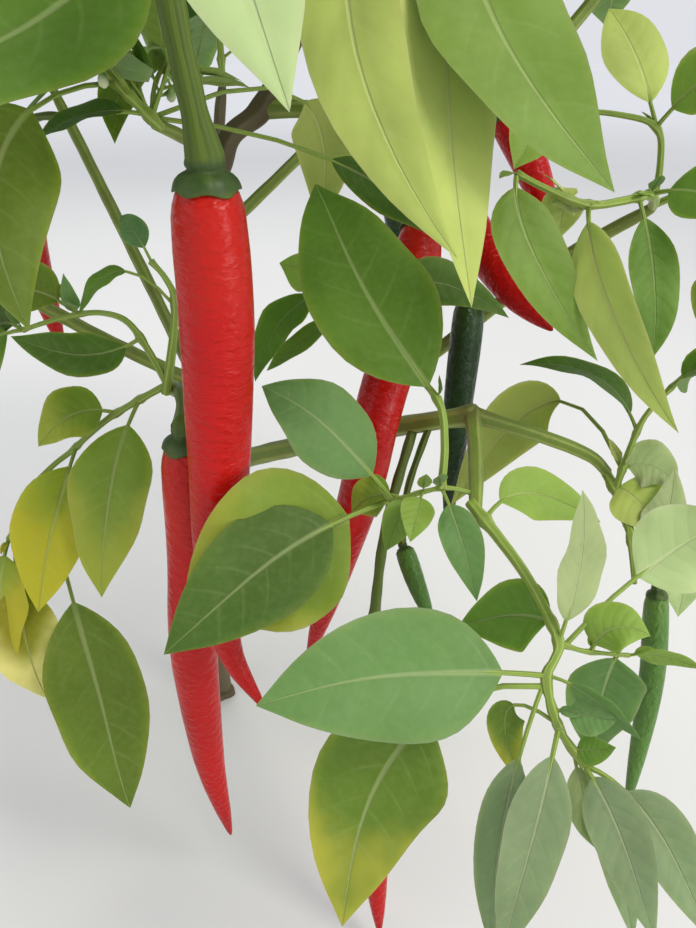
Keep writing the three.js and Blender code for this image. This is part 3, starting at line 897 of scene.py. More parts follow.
UNDER_FINISHES = (
    LeafFinish("leaf_underside", (0.150, 0.250, 0.075), roughness=0.65, veined=0.3),
    LeafFinish("leaf_underside_bright", (0.230, 0.330, 0.070), roughness=0.65, veined=0.3),
    LeafFinish("leaf_underside_yellow", (0.400, 0.400, 0.060), roughness=0.65, veined=0.3),
)
BRIGHT_UNDERSIDES = (Tint.FRESH, Tint.BRIGHT, Tint.PALE, Tint.SILVER, Tint.SALLOW, Tint.TURNING,
                     Tint.MILKY)
YELLOW_UNDERSIDES = (Tint.YELLOWING, Tint.YELLOW)

STEM_FINISHES = {
    Age.GREEN: StemFinish(
        "stem_green", (0.165, 0.255, 0.032), (0.37, 0.43, 0.090), (0.115, 0.095, 0.030), 0.16),
    Age.WOODY: StemFinish(
        "stem_woody", (0.090, 0.135, 0.028), (0.22, 0.26, 0.075), (0.095, 0.070, 0.032), 0.56),
}
TWIG_FINISH = StemFinish(
    "twig_green", (0.190, 0.300, 0.034), (0.42, 0.50, 0.11), (0.180, 0.170, 0.045), 0.02)

POD_FINISHES = {
    Ripeness.RIPE: PodFinish(
        "pod_red", (0.49, 0.002, 0.001), (0.36, 0.001, 0.001), (0.53, 0.018, 0.004)),
    Ripeness.DARK: PodFinish(
        "pod_dark_green", (0.013, 0.040, 0.008), (0.007, 0.022, 0.006), (0.03, 0.08, 0.015)),
    Ripeness.LIGHT: PodFinish(
        "pod_light_green", (0.090, 0.200, 0.030), (0.050, 0.130, 0.022), (0.16, 0.28, 0.05)),
}
CAP_FINISH = StalkFinish(
    "fruit_stalk", (0.074, 0.118, 0.011), (0.135, 0.182, 0.02), (0.036, 0.074, 0.014), 0.60)


def wrapped(name: str, around: int, along: int,
            shape: Callable[[Array, Array], Array],
            mark: str, marked: Callable[[Array, Array], Array]) -> Object:
    """Wraps a grid round into a closed skin.

    Args:
        name: The piece's name.
        around: Faces round it.
        along: Faces from end to end.
        shape: Gives places in millimetres for shares round and along. All the places of each end meet.
        mark: The name of a number that its corners carry.
        marked: Gives that number, for shares round and along.

    Returns:
        The piece, with its skin's map.
    """
    work = bmesh.new()
    work.loops.layers.uv.new("skin")
    layer = work.verts.layers.float.new(mark)
    bmesh.ops.create_grid(work, x_segments=around, y_segments=along, size=0.5, calc_uvs=True)
    flat = np.array([vert.co[:2] for vert in work.verts]) + 0.5
    places = shape(flat[:, 0], flat[:, 1]) * MM
    for vert, place, value in zip(work.verts, places, marked(flat[:, 0], flat[:, 1]), strict=True):
        vert.co = place
        vert[layer] = value
    bmesh.ops.remove_doubles(work, verts=work.verts, dist=SKIN_WELD)
    bmesh.ops.recalc_face_normals(work, faces=work.faces)
    for face in work.faces:
        face.smooth = True
    mesh = bpy.data.meshes.new(name)
    work.to_mesh(mesh)
    work.free()
    return placed_piece(name, mesh)


def placed_piece(name: str, mesh: Mesh) -> Object:
    """Puts a mesh in the scene, riding on the plant.

    Args:
        name: The piece's name.
        mesh: Its mesh, already in place.

    Returns:
        The piece.
    """
    piece = bpy.data.objects.new(name, mesh)
    bpy.context.scene.collection.objects.link(piece)
    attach(piece, BODY)
    return piece


@dataclass
class Limb:
    """The stem or a bough: ribbed, swollen where others leave it, and browned there."""

    name: str
    path: tuple[Point, ...]
    start: float
    end: float
    age: Age
    around: int = 40
    row: float = 1.3
    foot_radius: float = 9.5
    flare_height: float = 26.0
    ribs: int = 5
    rib_share: float = 0.05
    knot_length: float = 5.0
    knot_swell: float = 0.20
    fork_reach: float = 5.0
    sunk: float = 1.5
    twig_radius: float = 1.65
    narrowing: float = 9.0
    thin: float = 2.5
    foot_height: float = 8.0
    buttress_share: float = 0.10
    buttress_height: float = 12.0
    course: Course = field(init=False)
    # Depth, radians to a millimetre, turns round it, and shift of each wave in its skin.
    LUMPS = ((0.022, 0.21, 2, 1), (0.018, 0.47, -1, 2.1))

    def __post_init__(self) -> None:
        """Draws the centre line."""
        self.course = Course(smooth(self.path, COURSE_STEPS))

    @property
    def grounded(self) -> bool:
        """Tells whether it stands on the ground."""
        return self.path[0][2] == 0

    @property
    def bears_mass(self) -> bool:
        """Tells whether a twig goes on from its end."""
        return self.end < self.thin

    def radius(self, distance: Array) -> Array:
        """Gives the plain radius.

        Args:
            distance: Distances along it.

        Returns:
            The radius at each.
        """
        share = np.clip(distance / self.course.length, 0, 1)
        plain = self.start + (self.end - self.start) * share
        if self.bears_mass:
            close = np.clip(1 - (self.course.length - distance) / self.narrowing, 0, 1) ** 2
            plain = plain * (1 - close) + self.twig_radius * close
        if not self.grounded:
            return plain
        flare = np.maximum(0, 1 - distance / self.flare_height) ** 2
        return plain + (self.foot_radius - self.start) * flare

    def knots(self, others: Sequence["Limb"]) -> list[float]:
        """Finds where other limbs leave it or meet it.

        Args:
            others: All the limbs.

        Returns:
            Distances along it.
        """
        found = [] if self.grounded else [0.0]
        for other in others:
            place, away = self.course.distance_of(np.array(other.path[0], float))
            if other is not self and away < self.fork_reach:
                found.append(place)
        return found

    def build(self, others: Sequence["Limb"], finishes: dict[Age, Material]) -> Object:
        """Makes the limb.

        Args:
            others: All the limbs.
            finishes: The bark for each age.

        Returns:
            The piece.
        """
        knots = self.knots(others)
        low = 0.0 if self.grounded else -self.sunk
        high = self.course.length
        rows = max(int((high - low) / self.row), 10)
        run = np.linspace(low, high, rows - 3)
        last = float(self.radius(run[-1:])[0])
        stops = np.concatenate([run[:1], run, run[-1:] + last * np.array([0.35, 0.55, 0.6])])
        girth = np.concatenate([[0.0], np.ones(len(run)), [0.9, 0.55, 0.0]])
        phase = (name_number(self.name) % 97) * 0.7

        def near(distance: Array) -> Array:
            """Tells how near each distance is to a knot."""
            gaps = np.array([np.exp(-(((distance - knot) / self.knot_length) ** 2)) for knot in knots])
            return gaps.max(axis=0) if len(gaps) else np.zeros_like(distance)

        def shape(u: Array, v: Array) -> Array:
            """Places the limb's skin.

            Args:
                u: Shares round it.
                v: Shares of its rows.

            Returns:
                The places, in millimetres.
            """
            distance = row_value(stops, v)
            centre, _, side, across = self.course.at(distance)
            if self.grounded:
                # The foot's rings lie flat on the ground, and lean with the stem further up.
                share = np.clip(distance / self.foot_height, 0, 1)[:, None]
                side = unit(side * share + np.array([0.0, 1.0, 0.0]) * (1 - share))
                across = unit(across * share + np.array([-1.0, 0.0, 0.0]) * (1 - share))
            angle = math.tau * u
            swell = 1 + self.knot_swell * near(distance)
            lumps = sum(depth * np.sin(distance * along + round_it * angle + shift * phase)
                        for depth, along, round_it, shift in self.LUMPS)
            rib = self.rib_share * np.cos(self.ribs * angle + 0.012 * distance + phase)
            buttress = self.buttress_share * np.cos(4 * angle + 1) \
                * np.exp(-distance / self.buttress_height) * self.grounded
            radius = self.radius(distance) * swell * (1 + rib + lumps + buttress) * row_value(girth, v)
            return ring_places(centre, side, across, radius, angle)

        piece = wrapped(f"bark_{self.name}", self.around, len(stops) - 1, shape,
                        "knot", lambda u, v: near(row_value(stops, v)))
        piece.data.materials.append(finishes[self.age])
        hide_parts(self.name)
        return piece


@dataclass
class Pod:
    """A fruit and its stalk, whose end widens to the cap over the fruit's shoulder."""

    name: str
    path: tuple[Point, ...]
    radius: float
    ripeness: Ripeness
    stalk_path: tuple[Point, ...]
    stalk_radius: float
    around: int = 56
    row: float = 1.5
    lumps: float = 0.018
    stalk_around: int = 40
    stalk_row: float = 0.9
    root_flare: float = 0.40
    root_length: float = 2.5
    stalk_lumps: float = 0.06
    neck_sunk: float = 0.55
    neck_radius: float = 0.46
    neck_length: float = 1.6
    ribs: int = 6
    rib_share: float = 0.055
    cap_lobes: int = 5
    cap_wave: float = 0.055
    cap_gap: float = 0.35
    course: Course = field(init=False)

    SHARES = ((0, 0), (0.004, 0.45), (0.012, 0.72), (0.025, 0.86), (0.05, 0.94), (0.1, 0.985), (0.22, 1),
              (0.36, 0.965), (0.5, 0.9), (0.62, 0.80), (0.74, 0.66), (0.84, 0.49), (0.92, 0.32),
              (0.965, 0.19), (0.985, 0.12), (0.996, 0.055), (1, 0))
    TOP_ROWS = (0, 0.002, 0.006, 0.012, 0.02, 0.034, 0.05, 0.07)
    BODY_ROWS = (0.1, 0.92)
    BODY_SHARE = 0.82
    TIP_ROWS = (0.94, 0.955, 0.967, 0.978, 0.986, 0.992, 0.997, 1)
    # The cap's profile from its collar over the rim to its inside, as widths and heights in radii.
    CAP = ((0.47, -0.44), (0.485, -0.36), (0.475, -0.29), (0.44, -0.24), (0.47, -0.20), (0.57, -0.15),
           (0.67, -0.09), (0.75, -0.01), (0.80, 0.08), (0.83, 0.17), (0.85, 0.25), (0.845, 0.28),
           (0.81, 0.27), (0.68, 0.20), (0.0, 0.12))
    CAP_OUTSIDE = 12
    CAP_WAVES = (0, 0, 0, 0, 0, 0, 0, 0.1, 0.35, 0.8, 1, 1, 0.8, 0.3, 0)
    CAP_RIBS = (0.05, 0.05, 0.05, 0.03, 0.03, *[0.022] * 7, 0, 0, 0)

    def __post_init__(self) -> None:
        """Draws the centre line."""
        self.course = Course(smooth(self.path, COURSE_STEPS))

    def girth(self, share: Array) -> Array:
        """Gives the fruit's radius along it, in millimetres."""
        table = np.array(self.SHARES)
        return self.radius * np.interp(share, table[:, 0], table[:, 1])

    def build(self, limbs: Sequence[Limb], finishes: dict[Ripeness, Material],
              cap_finish: Material) -> list[Object]:
        """Makes the fruit and its stalk.

        Args:
            limbs: The limbs, one of which carries the stalk.
            finishes: The skin for each ripeness.
            cap_finish: The stalk's own.

        Returns:
            Both pieces.
        """
        return [self.fruit(finishes[self.ripeness]), self.stalk(limbs, cap_finish)]

    def fruit(self, finish: Material) -> Object:
        """Makes the fruit.

        Args:
            finish: Its skin.

        Returns:
            The piece.
        """
        length = self.course.length
        middle = np.linspace(*self.BODY_ROWS, max(int(length * self.BODY_SHARE / self.row), 20))
        stops = np.concatenate([self.TOP_ROWS, middle, self.TIP_ROWS])
        girths = self.girth(stops)
        phase = name_number(self.name) * 0.37

        def shape(u: Array, v: Array) -> Array:
            """Places the fruit's skin.

            Args:
                u: Shares round it.
                v: Shares of its rows.

            Returns:
                The places, in millimetres.
            """
            share = row_value(stops, v)
            centre, _, side, across = self.course.at(share * length)
            angle = math.tau * u
            body = np.clip(share * 8, 0, 1) * np.clip((1 - share) * 8, 0, 1)
            bulge = np.sin(2 * angle + share * 5 + phase) + 0.7 * np.sin(3 * angle - share * 9 + 2 * phase)
            bulge = bulge + 0.8 * np.sin(share * length * 0.11 + angle + phase)
            radius = row_value(girths, v) * (1 + self.lumps * bulge * body)
            return ring_places(centre, side, across, radius, angle)

        piece = wrapped(f"skin_{self.name}", self.around, len(stops) - 1, shape,
                        "along", lambda u, v: row_value(stops, v) * length * MM)
        piece.data.materials.append(finish)
        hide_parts(f"pod_{self.name}")
        return piece

    def stalk(self, limbs: Sequence[Limb], finish: Material) -> Object:
        """Makes the stalk with its cap.

        Args:
            limbs: The limbs, one of which carries it.
            finish: Its finish.

        Returns:
            The piece.
        """
        r, cap = self.radius, self.CAP
        top, way = self.course.points[0], self.course.ways[0]
        _, _, side, across = (rows[0] for rows in self.course.at(np.array([0.0])))
        start = np.array(self.stalk_path[0], float)
        away = [limb.course.distance_of(start)[1] for limb in limbs]
        nearest = limbs[int(np.argmin(away))]
        foot = nearest.course.at(np.array([nearest.course.distance_of(start)[0]]))[0][0]
        neck = top - way * r * self.neck_sunk
        line = Course(smooth([foot + (start - foot) * 0.5, *self.stalk_path, neck], 8))
        rows = max(int(line.length / self.stalk_row), 12)
        run = np.linspace(0, line.length, rows)
        centres, _, sides, crosses = line.at(run)
        # The stalk's own cross directions turn into the fruit's over its last stretch.
        twist = math.atan2(float(sides[-1] @ across), float(sides[-1] @ side))
        share = run / line.length
        flare = self.root_flare * np.exp(-run / self.root_length) + self.stalk_lumps * np.cos(run * 0.5)
        widen = np.clip(1 - (line.length - run) / (self.neck_length * r), 0, 1) ** 2
        radii = self.stalk_radius * (1 + flare) * (1 - widen) + r * self.neck_radius * widen
        centre_rows = np.vstack([centres[:1], centres, [top + way * r * h for _, h in cap]])
        side_rows = np.vstack([sides[:1], sides, [side] * len(cap)])
        cross_rows = np.vstack([crosses[:1], crosses, [across] * len(cap)])
        spins = np.concatenate([[0.0], np.zeros(rows), np.full(len(cap), twist)])
        fits = [float(self.girth(np.array(max(h, 0) * r / self.course.length))) for _, h in cap]
        fits = [max(r * w, fit + self.cap_gap if k < self.CAP_OUTSIDE else 0)
                for k, ((w, _), fit) in enumerate(zip(cap, fits))]
        radius_rows = np.concatenate([[0.0], radii, fits])
        wave_rows = np.concatenate([np.zeros(rows + 1), self.CAP_WAVES])
        rib_rows = np.concatenate([[0.0], np.full(rows, self.rib_share), self.CAP_RIBS])
        phase = name_number(self.name) * 0.53

        def shape(u: Array, v: Array) -> Array:
            """Places the stalk's and the cap's skin.

            Args:
                u: Shares round it.
                v: Shares of its rows.

            Returns:
                The places, in millimetres.
            """
            turn = math.tau * u
            angle = turn + row_value(spins, v)
            ribs = row_value(rib_rows, v) * np.cos(self.ribs * turn + phase)
            radius = row_value(radius_rows, v) * (1 + ribs)
            lobes = np.cos(self.cap_lobes * turn + phase) + 0.35 * np.cos(3 * turn + 2 * phase)
            drop = row_value(wave_rows, v) * r * self.cap_wave * lobes
            centre = row_value(centre_rows, v) + way * drop[:, None]
            return ring_places(centre, row_value(side_rows, v), row_value(cross_rows, v), radius, angle)

        cap_start = CAP_FINISH.cap_start
        cap_marks = cap_start + (1 - cap_start) * (np.arange(len(cap)) + 1) / len(cap)
        mapped = np.concatenate([[0.0], share * cap_start, cap_marks])
        piece = wrapped(f"cap_{self.name}", self.stalk_around, len(radius_rows) - 1, shape,
                        "cap", lambda u, v: row_value(mapped, v))
        piece.data.materials.append(finish)
        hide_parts(f"stalk_{self.name}")
        return piece


LIMBS = (
    Limb("main_stem", (
        (0, 0, 0), (0.5, 0.5, 45), (1, 1, 85), (1, 1, 120)), 6.4, 5.2, Age.WOODY),
    Limb("bough_middle", (
        (1, 1, 120), (8, -6, 160), (14, -14, 200), (25, -25, 251), (38, -18, 265),
        (48, -12, 285)), 4.4, 3, Age.WOODY),
    Limb("bough_front_right", (
        (1, 1, 120), (28, -17, 138), (55, -35, 153), (81, -55, 168),
        (105, -72, 180)), 4, 3, Age.GREEN),
    Limb("bough_back", (
        (1, 1, 120), (0, 30, 150), (4, 62, 205), (10, 92, 268)), 4, 2.4, Age.WOODY),
    Limb("bough_front_left", (
        (8, -6, 160), (10, -40, 174), (11, -73, 190)), 3.2, 2.4, Age.GREEN),
    Limb("bough_towards_front", (
        (105, -72, 180), (103, -95, 176), (100, -118, 173)), 2.3, 1.9, Age.GREEN),
    Limb("bough_far_right", (
        (105, -72, 180), (125, -76, 175), (141, -78, 169), (147, -80, 164)), 2.3, 1.9, Age.GREEN),
    Limb("bough_right", (
        (55, -35, 153), (95, -20, 180), (135, -25, 215), (160, -45, 238)), 2.8, 2, Age.GREEN),
    Limb("bough_upper_left", (
        (25, -25, 251), (17, -42, 258), (11, -55, 263)), 2.2, 1.8, Age.GREEN),
    Limb("bough_high_right", (
        (38, -18, 265), (60, -18, 264), (100, -24, 258), (132, -8, 282),
        (150, 4, 300)), 2.8, 2, Age.GREEN),
    Limb("bough_upper_front", (
        (48, -12, 285), (40, -55, 300), (33, -95, 310), (30, -128, 309)), 2.8, 2.2, Age.GREEN),
    Limb("bough_upper_right", (
        (48, -12, 285), (65, -50, 308), (80, -85, 320), (86, -105, 322)), 2.6, 2, Age.GREEN),
    Limb("bough_top", (
        (48, -12, 285), (40, 0, 318), (32, 8, 350)), 2.8, 2, Age.GREEN),
    Limb("bough_left", (
        (0, 30, 150), (-40, 10, 182), (-75, -10, 216), (-98, -24, 242)), 3, 2.1, Age.GREEN),
    Limb("bough_back_left", (
        (0, 30, 150), (-28, 46, 210), (-55, 60, 268)), 2.8, 2.1, Age.GREEN),
    Limb("bough_back_right", (
        (4, 62, 205), (44, 75, 240), (78, 82, 272)), 2.8, 2.1, Age.GREEN),
)
PODS = (
    Pod("front", (
        (36, -124, 257), (35.5, -122, 225), (33, -118, 190), (30, -116, 158),
        (31.5, -120, 128), (41.5, -126, 110)), 8.6, Ripeness.RIPE,
        ((30, -127, 309), (33, -125, 282)), 2.6),
    Pod("front_left", (
        (21, -101, 185), (20, -101, 150), (17, -102, 110), (18, -102, 65),
        (23, -102, 25)), 8, Ripeness.RIPE,
        ((12, -65, 186), (17, -84, 192)), 1.7),
    Pod("middle", (
        (90, -32, 231), (87, -44, 212), (76, -67, 180), (70, -74, 154),
        (60, -76, 117), (51, -73, 82)), 8, Ripeness.RIPE,
        ((97, -24, 258), (93, -28, 246)), 1.7),
    Pod("middle_right", (
        (103, -2, 236), (112, -12, 222), (122, -30, 209), (133, -49, 200)), 7.5, Ripeness.RIPE,
        ((112, -19, 264), (106, -8, 250)), 1.7),
    Pod("unripe_long", (
        (108, -31, 205), (105, -40, 168), (103, -46, 122)), 5.6, Ripeness.DARK,
        ((106, -24, 258), (108, -28, 232)), 1.6),
    Pod("high_right", (
        (122, 10, 262), (133, 4, 243), (142, -3, 222)), 7, Ripeness.RIPE,
        ((133, -7, 283), (125, 4, 279)), 1.6),
    Pod("low", (
        (74, -98, 112), (74, -108, 78), (75, -118, 40), (77, -127, 6)), 7, Ripeness.RIPE,
        ((88, -60, 171), (78, -84, 146)), 1.6),
    Pod("unripe_right", (
        (152, -120, 147), (153, -126, 118), (150, -134, 76)), 3.6, Ripeness.LIGHT,
        ((151.4, -104, 150.4), (152.5, -114, 151)), 1.3),
    Pod("unripe_small", (
        (85, -73, 131), (89.5, -82, 121), (94.5, -91, 111)), 3.4, Ripeness.LIGHT,
        ((93, -64, 174), (86, -66, 150)), 1.2),
    Pod("left", (
        (-84, -32, 205), (-84, -40, 165), (-80, -42, 118)), 8, Ripeness.RIPE,
        ((-80, -13, 221), (-84, -26, 222)), 1.7),
    Pod("back_left", (
        (-78, 74, 238), (-82, 78, 196), (-76, 80, 148)), 7.6, Ripeness.RIPE,
        ((-50, 57, 258), (-68, 68, 256)), 1.7),
    Pod("back", (
        (-6, 104, 226), (-6, 112, 184), (-2, 116, 134)), 8, Ripeness.RIPE,
        ((7, 78, 240), (-3, 96, 244)), 1.7),
    Pod("back_right", (
        (86, 94, 230), (92, 104, 190), (88, 104, 144)), 6, Ripeness.DARK,
        ((68, 80, 264), (82, 90, 250)), 1.6),
)
SPRAYS = (
    Spray("front_left", (
        ((11, -74, 191), (15, -70, 216), (10, -73, 228)),
        ((11, -74, 191), (0, -69, 209), (-16, -64, 210), (-34, -64, 205)),
        ((11, -74, 191), (-8, -74, 180), (-22, -73, 168), (-32, -77, 160), (-42, -86, 143)),
    ), (
        Placed((3, -70, 204), (-26, -92, 212), 15, 0.14, 4, (1, -1, -5), Tint.DEEP),
        Placed((-6, -74, 182), (-27, -86, 176), 19, 0.16, 10, (0, 0, 5), Tint.TURNING),
        Placed((2, -74, 186), (-6, -110, 138), 26, 0.16, 10, (-2, -3, 5), Tint.TURNING),
        Placed((-20, -73, 169), (-29, -105, 129), 24, 0.14, -8, (1, -3, 4), Tint.YELLOWING),
        Placed((-42, -86, 143), (-40, -104, 108), 22, 0.14, 20, (-2, -2, 3), Tint.YELLOWING),
        Placed((-40, -84, 146), (-33, -103, 92), 22, 0.3, -10, (0, -6, 2), Tint.YELLOW),
        Placed((-32, -77, 160), (-5, -120, 61), 31, 0.34, 0, (2, -5, 0), Tint.OLIVE),
        Placed((10, -73, 228), (2, -71, 240), 8, 0.2, 0, (0, 0, 2), Tint.SHADE),
        Placed((15, -70, 214), (-10, -82, 215), 9, 0.45, 30, (-1, 2, 11), Tint.GREEN),
        Placed((15, -70, 216), (30, -78, 238), 10, 0.2, 0, (0, 0, 3), Tint.SHADE),
        Placed((-16, -64, 210), (-18, -66, 223), 5, 0.2, 0, (0, -1, -2), Tint.GREY),
        Placed((-16, -64, 210), (-44, -60, 216), 18, 0.2, 10, (0, 0, 4), Tint.OLIVE),
        Placed((-34, -64, 205), (-62, -74, 182), 22, 0.15, 0, (0, 0, 6), Tint.GREEN),
        Placed((-34, -64, 205), (-58, -46, 190), 22, 0.15, 0, (0, 0, 6), Tint.DEEP),
    )),
    Spray("inner", (
        ((99, -112, 174.5), (91, -114, 177), (76, -113, 172)),
        ((91, -114, 177), (90, -103, 198), (70, -67, 206), (59, -53, 214)),
    ), (
        Placed((90, -103, 198), (56, -50, 246), 35, 0.05, 0, (-3, -2, 1), Tint.GREEN),
        Placed((78, -113, 173), (44, -110, 205), 23, 0.16, 10, (0, 0, 4), Tint.GREY),
        Placed((76, -113, 172), (22, -152, 152), 27, 0.26, 0, (0, -2, 7), Tint.DEEP),
        Placed((77, -113, 172), (24, -137, 155), 42, 0.2, -20, (0, -3, 4), Tint.TURNING),
        Placed((80, -113, 174), (67, -108, 166), 12, 0.2, 0, (0, 0, 3), Tint.TURNING),
        Placed((91, -114, 177), (99, -136, 156), 11, 0.2, 0, (0, 0, 3), Tint.GREY),
        Placed((82, -88, 202), (112, -79, 213), 15, 0.34, 0, (-10, 10, 14), Tint.DEEP),
        Placed((86, -114, 176), (82, -130, 170), 9, 0.2, 0, (0, 0, 2), Tint.FRESH),
        Placed((84, -114, 175), (76, -122, 162), 9, 0.2, 0, (0, 0, 2), Tint.MEADOW),
        Placed((59, -53, 214), (38, -77, 193), 14, 0.12, 20, (-3, 2, 4), Tint.GREEN),
        Placed((59, -53, 214), (44, -45, 221), 13, 0.12, -20, (1, 2, 1), Tint.FRESH),
        Placed((63, -59, 210), (42, -81, 198), 8, 0.1, 20, (-1, -1, -1), Tint.MEADOW),
    )),
    Spray("facing_front", (
        ((100, -119, 173), (110, -136, 165), (116, -152, 156), (112, -159, 152),
        (115, -164, 141), (121, -168, 133)),
        ((116, -152, 156), (124, -148, 150), (136, -146, 147)),
    ), (
        Placed((112, -159, 152), (46, -172, 156), 29, 0.16, 0, (0, 0, 4), Tint.GREY),
        Placed((113, -160, 150), (64, -184, 98), 31, 0.4, -6, (-8, 8, 14), Tint.TIPPED),
        Placed((116, -152, 156), (119, -144, 193), 13, 0.14, 25, (2, 0, 0), Tint.MILKY),
        Placed((114, -148, 158), (94, -138, 150), 18, 0.06, 0, (3, 1, 2), Tint.GREEN),
        Placed((115, -164, 141), (99, -196, 105), 14, 0.14, 0, (0, -2, 4), Tint.SILVER),
        Placed((112, -159, 152), (99, -186, 95), 12, 0.3, 25, (-3, -1, 1), Tint.SILVER),
        Placed((121, -168, 133), (134, -193, 106), 13, 0.12, 12, (-1, 1, 6), Tint.SILVER),
        Placed((115, -164, 142), (107, -166, 125), 9, 0.38, 0, (-7, 5, 9), Tint.TIPPED),
        Placed((118, -166, 137), (127, -169, 140), 7, 0.2, 0, (-1, 0, -1), Tint.GREEN),
        Placed((114, -162, 145), (127, -167, 146), 9, 0.25, 0, (0, 0, 0), Tint.GREY),
        Placed((133, -146, 148), (131, -148, 114), 20, 0.05, 0, (-1, 0, 4), Tint.GREY),
        Placed((136, -146, 147), (153, -150, 146), 7, 0.1, 60, (0, 1, 1), Tint.FRESH),
        Placed((126, -148, 150), (138, -151, 157), 14, 0.1, -20, (-2, 1, 4), Tint.FRESH),
        Placed((112, -159, 152), (133, -168, 141), 8, 0.3, 60, (-2, 0, 4), Tint.GREY),
        Placed((119, -166, 136), (125, -174, 112), 9, 0.15, 0, (0, 1, -1), Tint.MILKY),
        Placed((121, -168, 133), (132, -187, 97), 9, 0.2, 0, (2, 3, 0), Tint.SILVER),
        Placed((121, -168, 133), (150, -188, 98), 14, 0.3, 0, (1, 4, 6), Tint.SILVER),
        Placed((118, -151, 154), (164, -128, 176), 23, 0.43, 0, (2, 8, -2), Tint.PALE),
        Placed((102, -122, 172), (137, -109, 163), 15, 0.2, 0, (-3, 7, 5), Tint.FRESH),
    )),
    Spray("far_right", (
        ((147, -80, 163.5), (150, -95, 156), (146, -118, 149)),
        ((148, -86, 161), (156, -79, 182), (172, -74, 199)),
    ), (
        Placed((150, -84, 167), (102, -59, 140), 22, 0.42, 0, (9, 25, 20), Tint.SALLOW),
        Placed((150, -95, 156), (162, -100, 150), 12, 0.2, 0, (0, 0, 3), Tint.PALE),
        Placed((149, -103, 154), (163, -91, 172), 13, 0.1, 0, (3, -2, -5), Tint.MILKY),
        Placed((148, -84, 161), (161, -102, 152), 18, 0.1, 0, (-1, 0, 4), Tint.BRIGHT),
        Placed((150, -84, 167), (165, -91, 165), 16, 0.1, 0, (0, 2, 3), Tint.MILKY),
        Placed((172, -74, 199), (200, -84, 190), 25, 0.15, 0, (0, 0, 6), Tint.FRESH),
        Placed((172, -74, 199), (190, -52, 216), 24, 0.15, 0, (0, 0, 5), Tint.OLIVE),
        Placed((163, -75, 191), (170, -104, 204), 19, 0.15, 0, (0, 0, 5), Tint.GREEN),
        Placed((150, -97, 156), (172, -96, 120), 22, 0.2, 0, (6, 3, 6), Tint.PALE),
        Placed((154, -80, 178), (122, -54, 190), 13, 0.12, 35, (7, 5, 5), Tint.DEEP),
    )),
    Spray("right_front", (
        ((160, -46, 239), (147, -78, 247), (126, -95, 247), (108, -92, 254)),
        ((160, -46, 239), (154, -55, 262), (130, -48, 266)),
        ((160, -46, 239), (178, -62, 252), (196, -78, 262)),
    ), (
        Placed((108, -92, 254), (128, -114, 213), 17, 0.1, 0, (-7, -1, 4), Tint.MEADOW),
        Placed((126, -95, 247), (144, -131, 201), 14, 0.1, 50, (-7, -1, 4), Tint.BRIGHT),
        Placed((142, -84, 247), (142, -111, 212), 13, 0.12, 0, (2, -2, 0), Tint.GREEN),
        Placed((130, -48, 266), (112, -66, 252), 18, 0.15, 0, (0, 0, 4), Tint.FRESH),
        Placed((147, -78, 247), (170, -108, 238), 22, 0.14, 0, (0, 0, 6), Tint.GREEN),
        Placed((154, -55, 262), (170, -80, 280), 20, 0.14, 0, (0, 0, 5), Tint.FRESH),
        Placed((196, -78, 262), (222, -104, 240), 26, 0.14, 0, (0, 0, 7), Tint.GREEN),
        Placed((196, -78, 262), (226, -66, 268), 24, 0.14, 0, (0, 0, 7), Tint.DEEP),
        Placed((178, -62, 252), (206, -36, 240), 26, 0.14, 0, (0, 0, 7), Tint.GREEN),
        Placed((187, -70, 257), (178, -110, 256), 24, 0.14, 0, (0, 0, 6), Tint.FRESH),
        Placed((154, -55, 262), (140, -40, 292), 19, 0.14, 0, (0, 0, 4), Tint.BRIGHT),
        Placed((121, -94, 249), (120, -93, 238), 11, 0.1, 0, (0, 2, 3), Tint.BRIGHT),
    )),
)
CROWN = (
    Mass("upper_left", (11, -56, 264), (-36, -58, 330), (70, 66, 56), 11, (
        Placed((11, -58, 266), (-23, -60, 258), 15, 0.2, 30, (0, 0, 4), Tint.DEEP),
        Placed((5, -66, 276), (-2, -138, 228), 26, 0.34, -35, (-10, -14, 12), Tint.OLIVE),
        Placed((11, -57, 265), (57, -46, 233), 19, 0.54, 0, (17, 21, 20), Tint.SALLOW),
        Placed((11, -57, 265), (101, -61, 229), 15, 0.5, 60, (5, 9, 6), Tint.DEEP),
        Placed((11, -57, 265), (-30, -77, 253), 8, 0.3, 60, (5, 6, 19), Tint.GREEN),
        Placed((11, -57, 265), (-3, -49, 257), 13, 0.35, 0, (-3, 8, 12), Tint.OLIVE),
    )),
    Mass("upper_front", (30, -129, 310), (24, -122, 360), (66, 60, 50), 23, (
        Placed((30, -130, 312), (-16, -163, 275), 32, 0.3, 0, (15, -9, -5), Tint.GREEN),
        Placed((31, -132, 314), (59, -198, 274), 24, 0.36, 0, (0, -8, 14), Tint.PALE),
    )),
    Mass("upper_right", (86, -106, 322), (100, -92, 368), (70, 66, 52), 37, (
        Placed((86, -107, 324), (87, -149, 246), 20, 0.28, 20, (-21, -1, 7), Tint.BRIGHT),
        Placed((88, -106, 326), (90, -148, 236), 22, 0.3, -20, (-4, 2, 7), Tint.BRIGHT),
        Placed((88, -106, 324), (116, -145, 257), 27, 0.26, 0, (-10, -3, 0), Tint.MEADOW),
    )),
    Mass("top", (32, 8, 350.5), (26, 8, 396), (84, 80, 60), 41),
    Mass("high_right", (150, 4, 300.5), (162, 14, 338), (76, 80, 60), 53),
    Mass("left", (-98.5, -24, 242.5), (-118, -34, 278), (76, 84, 60), 67),
    Mass("back_left", (-55, 60, 268.5), (-78, 70, 318), (82, 74, 60), 79),
    Mass("back", (10, 92.5, 268.5), (8, 112, 318), (78, 70, 60), 83),
    Mass("back_right", (78.5, 82, 272.5), (96, 92, 318), (78, 74, 60), 97),
)


